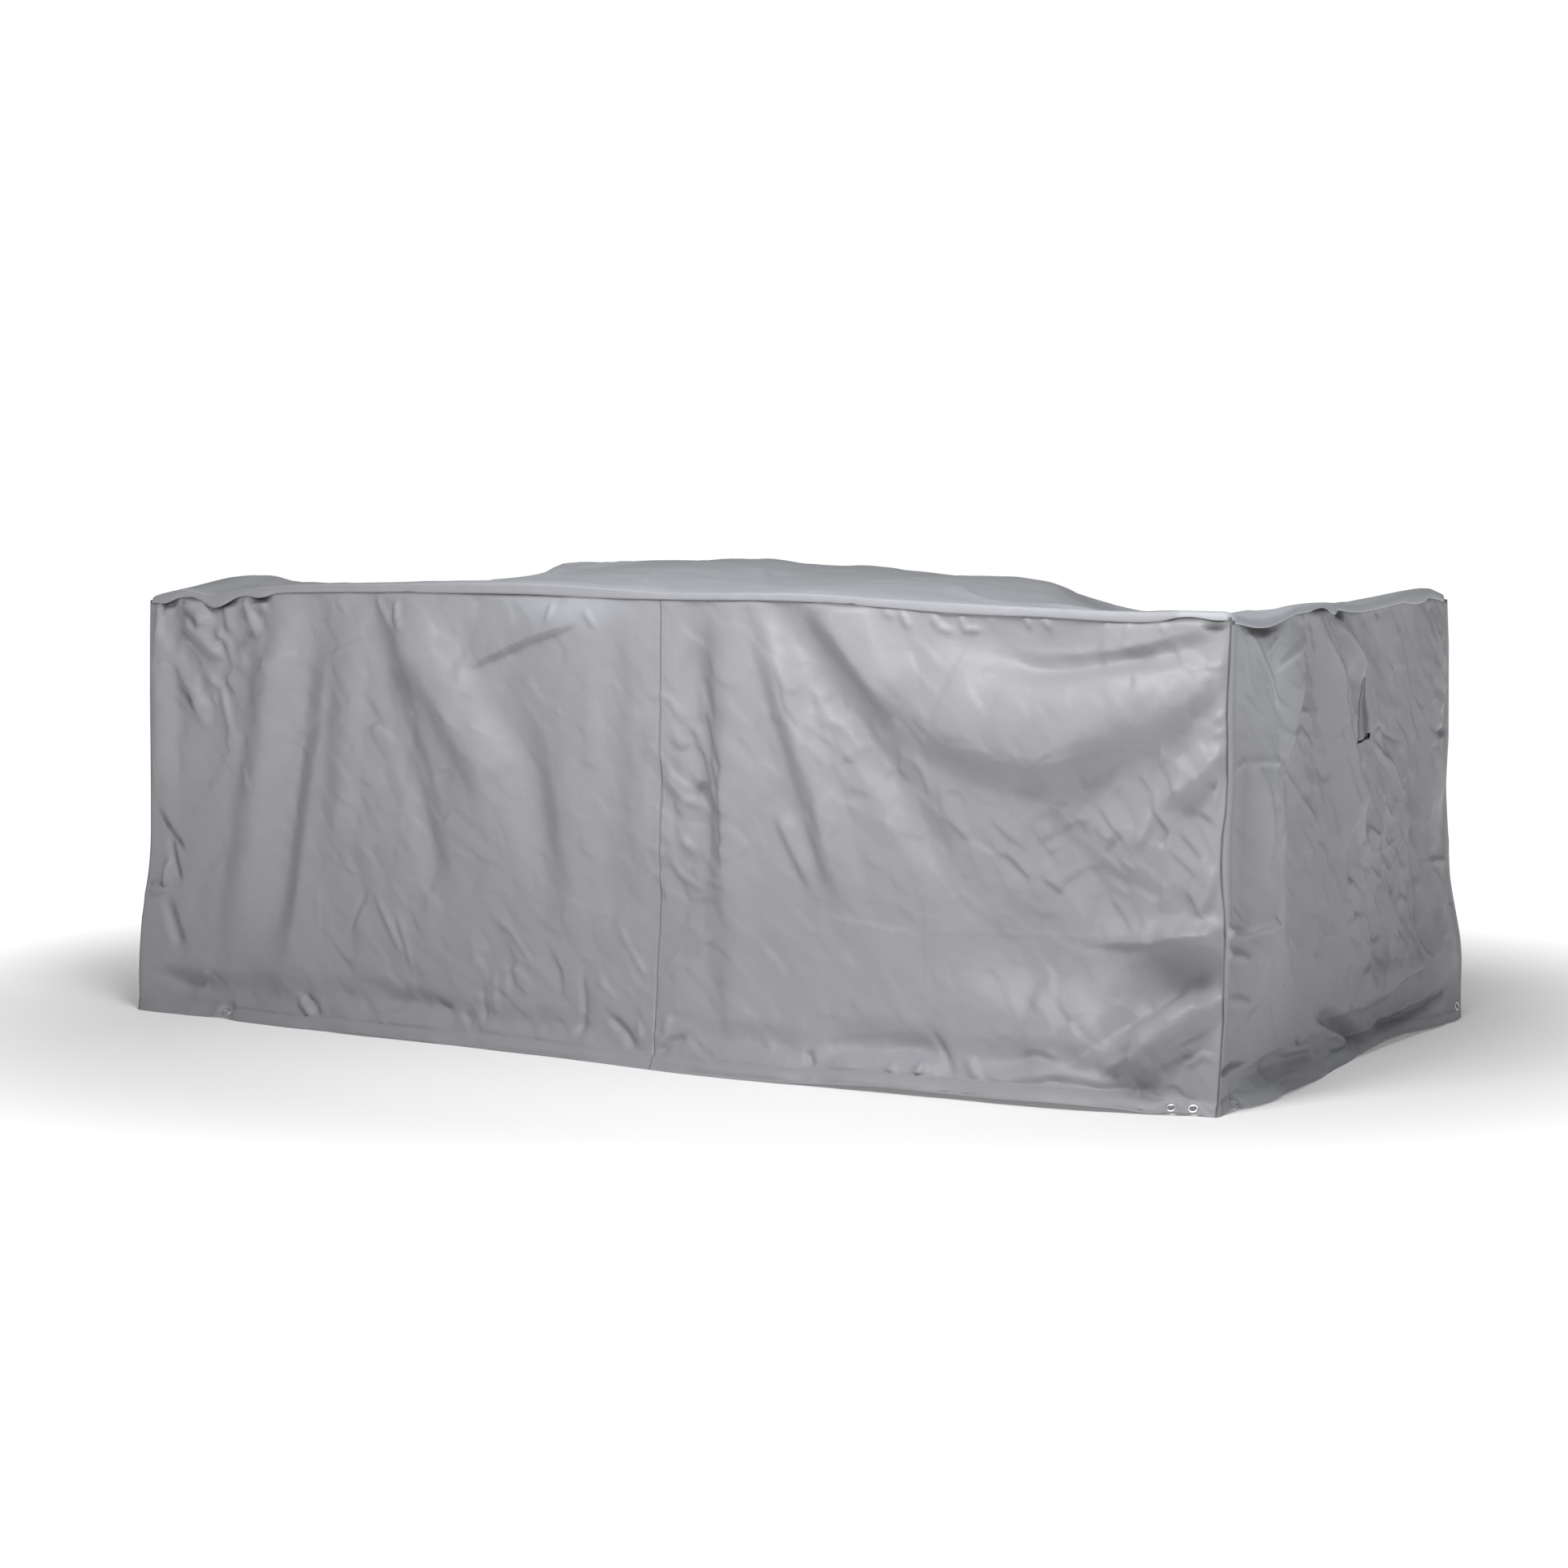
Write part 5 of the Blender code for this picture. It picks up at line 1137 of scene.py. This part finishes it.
# where the lip hangs lower and stands off: place, half width, drop, outwards
lipSags = {
    "front": [(-1.045, 0.052, 0.011, 0.004), (-1.185, 0.03, 0.004, 0.003), (-0.93, 0.04, 0.006, 0.002),
              (-0.3, 0.2, -0.003, 0.0), (0.7, 0.15, 0.002, 0.001), (1.15, 0.05, -0.004, 0.0)],
    "right": [(-0.175, 0.06, -0.005, 0.002), (-0.1, 0.03, 0.007, 0.003), (-0.47, 0.12, 0.003, 0.003),
              (0.42, 0.09, 0.006, 0.001)],
    "back": [(0.7, 0.06, 0.007, 0.003), (-0.5, 0.08, 0.004, 0.001)],
    "left": [(0.2, 0.06, 0.007, 0.003)],
}

# creased facets of the top, as in wallCrumple
topCrumple = [
    {"seed": 51, "cell": 0.11, "stretch": 1.8, "turn": 20, "crisp": 5.0, "rise": 0.0055, "base": 0.7,
     "patches": []},
    {"seed": 52, "cell": 0.05, "stretch": 2.2, "turn": -35, "crisp": 6.0, "rise": 0.003, "base": 0.7,
     "patches": []},
]


def topDrop(x, y):
    hit = topTree.ray_cast(Vector((x, y, cadHigh.z + topShape["above"])), Vector((0, 0, -1)))[0]
    return hit.z if hit else cadHigh.z


def readTop():
    # the field with its folds, and around it the rings that turn down over the rim into the lip
    halfX, halfY = (float(np.max(np.abs(topPoints[:, axis]))) for axis in (0, 1))
    radius, rings = topShape["radius"], topShape["rings"]
    count = len(rings)
    lines = []
    for half in (halfX, halfY):
        inner = half - radius
        cells = round(2 * inner / topShape["cell"])
        lines.append(np.concatenate([[-inner] * count, np.linspace(-inner, inner, cells + 1), [inner] * count]))
    columns, rows = len(lines[0]) - 1, len(lines[1]) - 1
    lattice = np.zeros((columns + 1, rows + 1, 3))
    lattice[..., 0], lattice[..., 1] = lines[0][:, None], lines[1][None, :]
    for i in range(count, columns - count + 1):
        for j in range(count, rows - count + 1):
            lattice[i, j, 2] = topDrop(lattice[i, j, 0], lattice[i, j, 1])
    field = lattice[count:-count, count:-count]
    cells = topShape["softness"] / topShape["cell"]
    drop = blur(blur(field[..., 2], cells, 0), cells, 1)
    x, y = field[..., 0], field[..., 1]
    relief = foldField(x, y, topFolds)
    for settings in topCrumple:
        relief += crumpleField(x, y, settings)
    inside = np.minimum(halfX - np.abs(x), halfY - np.abs(y)) - radius
    lattice[count:-count, count:-count, 2] = drop + relief * smoothStep(
        (inside + topShape["reliefFrom"]) / topShape["reliefFade"])
    rimLines = {name: (surfaces[name]["place"][:, -1], surfaces[name]["rim"]) for name in walls}
    puckers = {name: softNoise((len(surfaces[name]["rim"]),), (topShape["puckerLength"] / wall["cell"],),
                               topShape["puckerSeed"] + len(name)) for name, wall in walls.items()}
    for i in range(columns + 1):
        for j in range(rows + 1):
            ring = min(i, j, columns - i, rows - j)
            if ring >= count:
                continue
            signX = -1 if i < columns / 2 else 1
            signY = -1 if j < rows / 2 else 1
            fromX, fromY = min(i, columns - i), min(j, rows - j)
            onSide = fromX == ring and fromY >= ring      # on a left or right edge
            turn = (min(fromY if onSide else fromX, count) - ring) / (count - ring)
            angle = math.pi / 4 * (1 - turn)
            inset, share = rings[ring]
            centre = np.array([lattice[i, j, 0], lattice[i, j, 1]])
            if onSide:
                outwards = np.array([signX * math.cos(angle), signY * math.sin(angle) if fromY < count else 0.0])
            else:
                outwards = np.array([signX * math.sin(angle) if fromX < count else 0.0, signY * math.cos(angle)])
            wallName = ("left" if signX < 0 else "right") if onSide else ("front" if signY < 0 else "back")
            place = (centre + outwards * radius)[walls[wallName]["along"]]
            pucker = float(np.interp(place, rimLines[wallName][0], puckers[wallName])) * topShape["pucker"][ring]
            sag = out = 0.0
            for atPlace, halfWidth, drop, stand in lipSags[wallName]:
                bump = max(0.0, 1 - ((place - atPlace) / halfWidth) ** 2) ** topShape["sagRound"]
                sag, out = sag + drop * bump, out + stand * bump
            low = max(0.0, 1 - share / topShape["sagTo"])
            spot = centre + outwards * (radius - inset + pucker + out * low)
            seam = ground + float(np.interp(place, *rimLines[wallName]))
            edge = centre + outwards * (radius - topShape["edgeInset"])
            lattice[i, j] = (spot[0], spot[1], seam + (topDrop(*edge) - seam) * share - sag * low)
    return lattice


def addTop():
    points = readTop()
    print("top read:", points.shape)
    lip = topShape["lipCells"]
    # painted light: the lip, the field and the end over the vented wall are lightened with the paler colour
    pale = np.full(points.shape[:2], topShape["lipPaintedLight"])
    pale[lip:-lip, lip:-lip] = topShape["fieldPaintedLight"]
    pale[-topShape["endCells"]:] = topShape["endPaintedLight"]
    piece = sheetObject("topCloth", points, False, masks={"pale": pale})
    finishPiece(piece, cloth, ["top_panel"])


addTop()

# the cloths of the walls: wall, half of it, the solids that each stands for, and its flat size in metres
wallCloths = {
    "frontClothLeft": ("front", "left", ["front_panel_left", "hem_strip_front_left"], (1.3, 0.98)),
    "frontClothRight": ("front", "right", ["front_panel_right", "hem_strip_front_right"], (1.24, 0.98)),
    "sideClothRight": ("right", None, ["side_panel_right", "hem_strip_right_front", "hem_strip_right_back"],
                       (1.3, 0.95)),
    "sideClothLeft": ("left", None, ["side_panel_left", "hem_strip_left_front", "hem_strip_left_back"],
                      (1.3, 0.95)),
    "backClothLeft": ("back", "left", ["back_panel_left", "hem_strip_back_left"], (1.3, 0.98)),
    "backClothRight": ("back", "right", ["back_panel_right", "hem_strip_back_right"], (1.24, 0.98)),
}
for pieceName, settings in wallCloths.items():
    addWall(pieceName, *settings)
print("walls made")


# bright plated metal, with a fine uneven gloss
steelFinish = {"colour": (0.82, 0.82, 0.83, 1), "roughness": 0.22, "roughnessSpread": 0.2, "grain": 900.0}


def metalMaterial(name, settings):
    finish = Finish(name)
    place = finish.node("ShaderNodeTexCoord", None, None, 3)
    grain = finish.node("ShaderNodeTexNoise", None, {"Vector": place, "Scale": settings["grain"], "Detail": 4.0})
    roughness = settings["roughness"] + grain * settings["roughnessSpread"]
    return finish.set(Base_Color=settings["colour"], Metallic=1.0, Roughness=roughness)


steel = metalMaterial("platedSteel", steelFinish)


def addEyelet(nodeName):
    # a rolled ring, spun about the eyelet's axis
    middle, axis = (Vector(value.tolist()) for value in eyeletFrames[nodeName])
    bore, flange, half, curl, steps = (eyelet[key] for key in ("bore", "flange", "half", "curl", "rollSteps"))
    section = [(bore + eyelet["inside"], 0.0)]
    for face in (1, -1):
        rounded = []
        for step in range(steps + 1):
            turn = math.pi * step / steps
            rounded.append(((bore + flange) / 2 - math.cos(turn) * (flange - bore) / 2,
                            face * (half - curl + curl * math.sin(turn))))
        section += rounded if face > 0 else rounded[::-1]
    mesh = bmesh.new()
    ring = [mesh.verts.new((radius, 0, height)) for radius, height in section]
    for k, vertex in enumerate(ring):
        mesh.edges.new((vertex, ring[(k + 1) % len(ring)]))
    bmesh.ops.spin(mesh, geom=mesh.verts[:] + mesh.edges[:], cent=(0, 0, 0), axis=(0, 0, 1), dvec=(0, 0, 0),
                   angle=2 * math.pi, steps=eyelet["steps"], use_merge=True, use_duplicate=False)
    bmesh.ops.remove_doubles(mesh, verts=mesh.verts, dist=eyelet["merge"])
    bmesh.ops.recalc_face_normals(mesh, faces=mesh.faces)
    turnTo = axis.to_track_quat("Z", "Y").to_matrix().to_4x4()
    bmesh.ops.transform(mesh, matrix=turnTo, verts=mesh.verts)
    bmesh.ops.translate(mesh, vec=middle, verts=mesh.verts)
    piece = newObject(nodeName.replace("eyelet_", "rolledEyelet"), mesh)
    piece.data.shade_smooth()
    finishPiece(piece, steel, [nodeName])


for nodeName in eyeletFrames:
    addEyelet(nodeName)
print("eyelets made")


# painted shade for the inner faces of the vent hood
ventPaintedShade = Finish("ventPaintedShade").set(Base_Color=vent["innerPaintedShade"], Roughness=0.9)


def addVent():
    # columns across the mouth, and rows from it up to the apex
    apex, leftFoot, crest, rightFoot = (np.array(vent[key]) for key in ("apex", "leftFoot", "crest", "rightFoot"))
    across, down, split = vent["across"], vent["down"], vent["crestShare"]
    shares, bows = np.array(vent["bow"]).T
    lattice = np.zeros((across + 1, down + 1, 3))
    dark = np.zeros((across + 1, down + 1))
    for i in range(across + 1):
        side = i / across
        if side < split:
            low = leftFoot + (crest - leftFoot) * side / split
        else:
            drop = vent["footDrop"] * smoothStep((side - split) / vent["footDropOver"])
            low = crest + (rightFoot - crest) * (side - split) / (1 - split)
            low = low - np.array([0, drop * (1 - side) / (1 - split)])
        # painted shade in the hollow beside the crest, stronger towards the mouth, carried in the seam mask
        shade = smoothStep((side - vent["shadeFrom"]) / vent["shadeFade"])
        shadeEnd = smoothStep((side - vent["shadeTo"]) / vent["shadeFade"])
        for j in range(down + 1):
            share = 1 - j / down
            width = vent["apexWidth"] + (1 - vent["apexWidth"]) * share ** vent["widthTaper"]
            spot = apex + (low - apex) * np.array([width, share])
            point, normal = spotOn("right", *spot)
            flatten = vent["apexBow"] + (1 - vent["apexBow"]) * share ** vent["bowTaper"]
            bow = float(np.interp(side, shares, bows)) * millimetre * flatten
            wave = math.sin(vent["rippleTurns"][0] * side + vent["rippleTurns"][1] * share)
            ripple = vent["ripple"] * wave * share * math.sin(math.pi * side)
            lattice[i, j] = point + normal * (vent["proud"] + bow + ripple)
            dark[i, j] = vent["shade"] * shade * (1 - shadeEnd) * (0.5 + 0.5 * share)
    piece = sheetObject("ventHood", lattice, False, thickness=vent["thickness"], masks={"seam": dark})
    finishPiece(piece, cloth, ["vent_hood"])
    # the inner faces get the near-black painted shade
    piece.data.materials.append(ventPaintedShade)
    piece.modifiers["Thickness"].material_offset = 1


addVent()
print("vent made")


# in metres, with the columns and rows of the walls' lattices that the upright runs follow
stitch = {"length": 0.0034, "pitch": 0.0048, "thick": 0.00035, "proud": 0.00015, "stagger": 0.001,
          "besideCorner": (2, 3, -4, -3), "besideMiddle": (-2, 2), "rows": (8, -2), "colour": (0.3, 0.3, 0.31, 1)}

thread = Finish("thread").set(Base_Color=stitch["colour"], Roughness=0.6)


def stitchRun(curve, points, normals, start=0.0):
    # stitches along a line of surface points
    lengths = np.concatenate([[0], np.cumsum(np.linalg.norm(np.diff(points, axis=0), axis=1))])
    for begin in np.arange(start, lengths[-1] - stitch["length"], stitch["pitch"]):
        run = curve.splines.new("POLY")
        run.points.add(2)
        for k, part in enumerate((0.0, 0.5, 1.0)):
            at = begin + stitch["length"] * part
            spot = [np.interp(at, lengths, points[:, axis]) + np.interp(at, lengths, normals[:, axis])
                    * (stitch["proud"] if part == 0.5 else -stitch["proud"]) for axis in range(3)]
            run.points[k].co = (*spot, 1)


def addStitches():
    curve = bpy.data.curves.new("stitches", "CURVE")
    curve.dimensions = "3D"
    curve.bevel_depth = stitch["thick"]
    curve.bevel_resolution = 0
    hemRow = int(np.argmin(np.abs(np.array(shape["footRows"]) - seamSet["hem"])))
    rows = slice(*stitch["rows"])
    for wallName, wall in walls.items():
        surface = surfaces[wallName]
        points, normals = surface["points"], surface["normals"]
        stitchRun(curve, points[1:-1, hemRow], normals[1:-1, hemRow])
        if wall["along"] == 1:
            columns = [column % len(points) for column in stitch["besideCorner"]]
        else:
            columns = [surface["middle"] + column for column in stitch["besideMiddle"]]
        for column in columns:
            stagger = stitch["stagger"] * (column % 3) * wall["along"]
            stitchRun(curve, points[column, rows], normals[column, rows], stagger)
    holder = linkObject("stitchCurve", curve)
    data = bpy.data.meshes.new_from_object(holder.evaluated_get(bpy.context.evaluated_depsgraph_get()))
    bpy.data.objects.remove(holder)
    piece = linkObject("stitches", data)
    finishPiece(piece, thread)
    print("stitches:", len(data.polygons), "faces")


addStitches()


# the floor, the white room around it, the camera and the lights
studio = {
    "floor": 60.0, "floorColour": (0.8, 0.8, 0.8, 1),
    "room": 0.15,           # how strongly the white room lights the cover
    "glowFrom": 1.6, "glowTo": 2.8, "glowLow": (0.2, 0.2, 0.2, 1), "glowHigh": (1, 1, 1, 1), "glow": 0.9,
    "lens": 71.74,
    "cameraPlace": (3.24, -5.835, 0.0931),
    "cameraPitch": 4.79, "cameraYaw": 29.2,       # in degrees, down and to the left
    # each light's place, aim, width and power
    "lights": {
        "key": ((0.7, -1.95, 1.35), (0.4, -0.4, -0.5), 0.8, 28),
        "over": ((1.3, -1.9, 2.5), (0.6, -0.4, -0.5), 1.6, 50),
        "side": ((2.8, -2.1, 0.9), (0.9, -0.4, -0.5), 0.8, 5),
        "left": ((-1.3, 0.1, 2.2), (-1.3, 0.1, -0.5), 1.2, 6),
    },
}


def floorMaterial(name):
    # pale near the cover, and fading into the white behind it
    finish = Finish(name)
    place = finish.node("ShaderNodeTexCoord", None, None, 3)
    away = finish.node("ShaderNodeVectorMath", {"operation": "LENGTH"}, {0: place}, 1)
    glow = finish.node("ShaderNodeMapRange", {"interpolation_type": "SMOOTHSTEP"},
                       {"Value": away, "From Min": studio["glowFrom"], "From Max": studio["glowTo"]})
    glow = finish.node("ShaderNodeValToRGB", {"ramp": [(0.0, studio["glowLow"]), (1.0, studio["glowHigh"])]},
                       {"Fac": glow})
    return finish.set(Base_Color=studio["floorColour"], Roughness=0.9, Emission_Color=glow,
                      Emission_Strength=studio["glow"])


def addFloor():
    mesh = bmesh.new()
    bmesh.ops.create_grid(mesh, x_segments=1, y_segments=1, size=studio["floor"])
    bmesh.ops.translate(mesh, verts=mesh.verts, vec=(0, 0, ground))
    floor = newObject("floor", mesh)
    floor.data.materials.append(floorMaterial("paleFloor"))


def addLight(name, place, aim, size, energy):
    light = bpy.data.lights.new(name, "AREA")
    light.shape = "DISK"
    light.size = size
    light.energy = energy
    lamp = linkObject(name, light)
    lamp.location = place
    lamp.rotation_euler = (Vector(aim) - Vector(place)).to_track_quat("-Z", "Y").to_euler()


def addRoom():
    # white to the camera, and dim to the cover
    world = bpy.data.worlds.new("studio")
    world.use_nodes = True
    tree = world.node_tree
    backdrop = tree.nodes["Background"]
    backdrop.inputs["Color"].default_value = (1, 1, 1, 1)
    seen = tree.nodes.new("ShaderNodeLightPath")
    choose = tree.nodes.new("ShaderNodeMix")
    choose.inputs["A"].default_value = studio["room"]
    choose.inputs["B"].default_value = 1.0
    tree.links.new(seen.outputs["Is Camera Ray"], choose.inputs["Factor"])
    tree.links.new(choose.outputs[0], backdrop.inputs["Strength"])
    bpy.context.scene.world = world
    bpy.context.scene.view_settings.view_transform = "Standard"


def addCamera():
    lens = bpy.data.cameras.new("camera")
    lens.lens = studio["lens"]
    camera = linkObject("camera", lens)
    camera.location = studio["cameraPlace"]
    camera.rotation_euler = (math.radians(90 - studio["cameraPitch"]), 0, math.radians(studio["cameraYaw"]))
    bpy.context.scene.camera = camera


addFloor()
for lightName, settings in studio["lights"].items():
    addLight(lightName, *settings)
addRoom()
addCamera()
print("studio set")
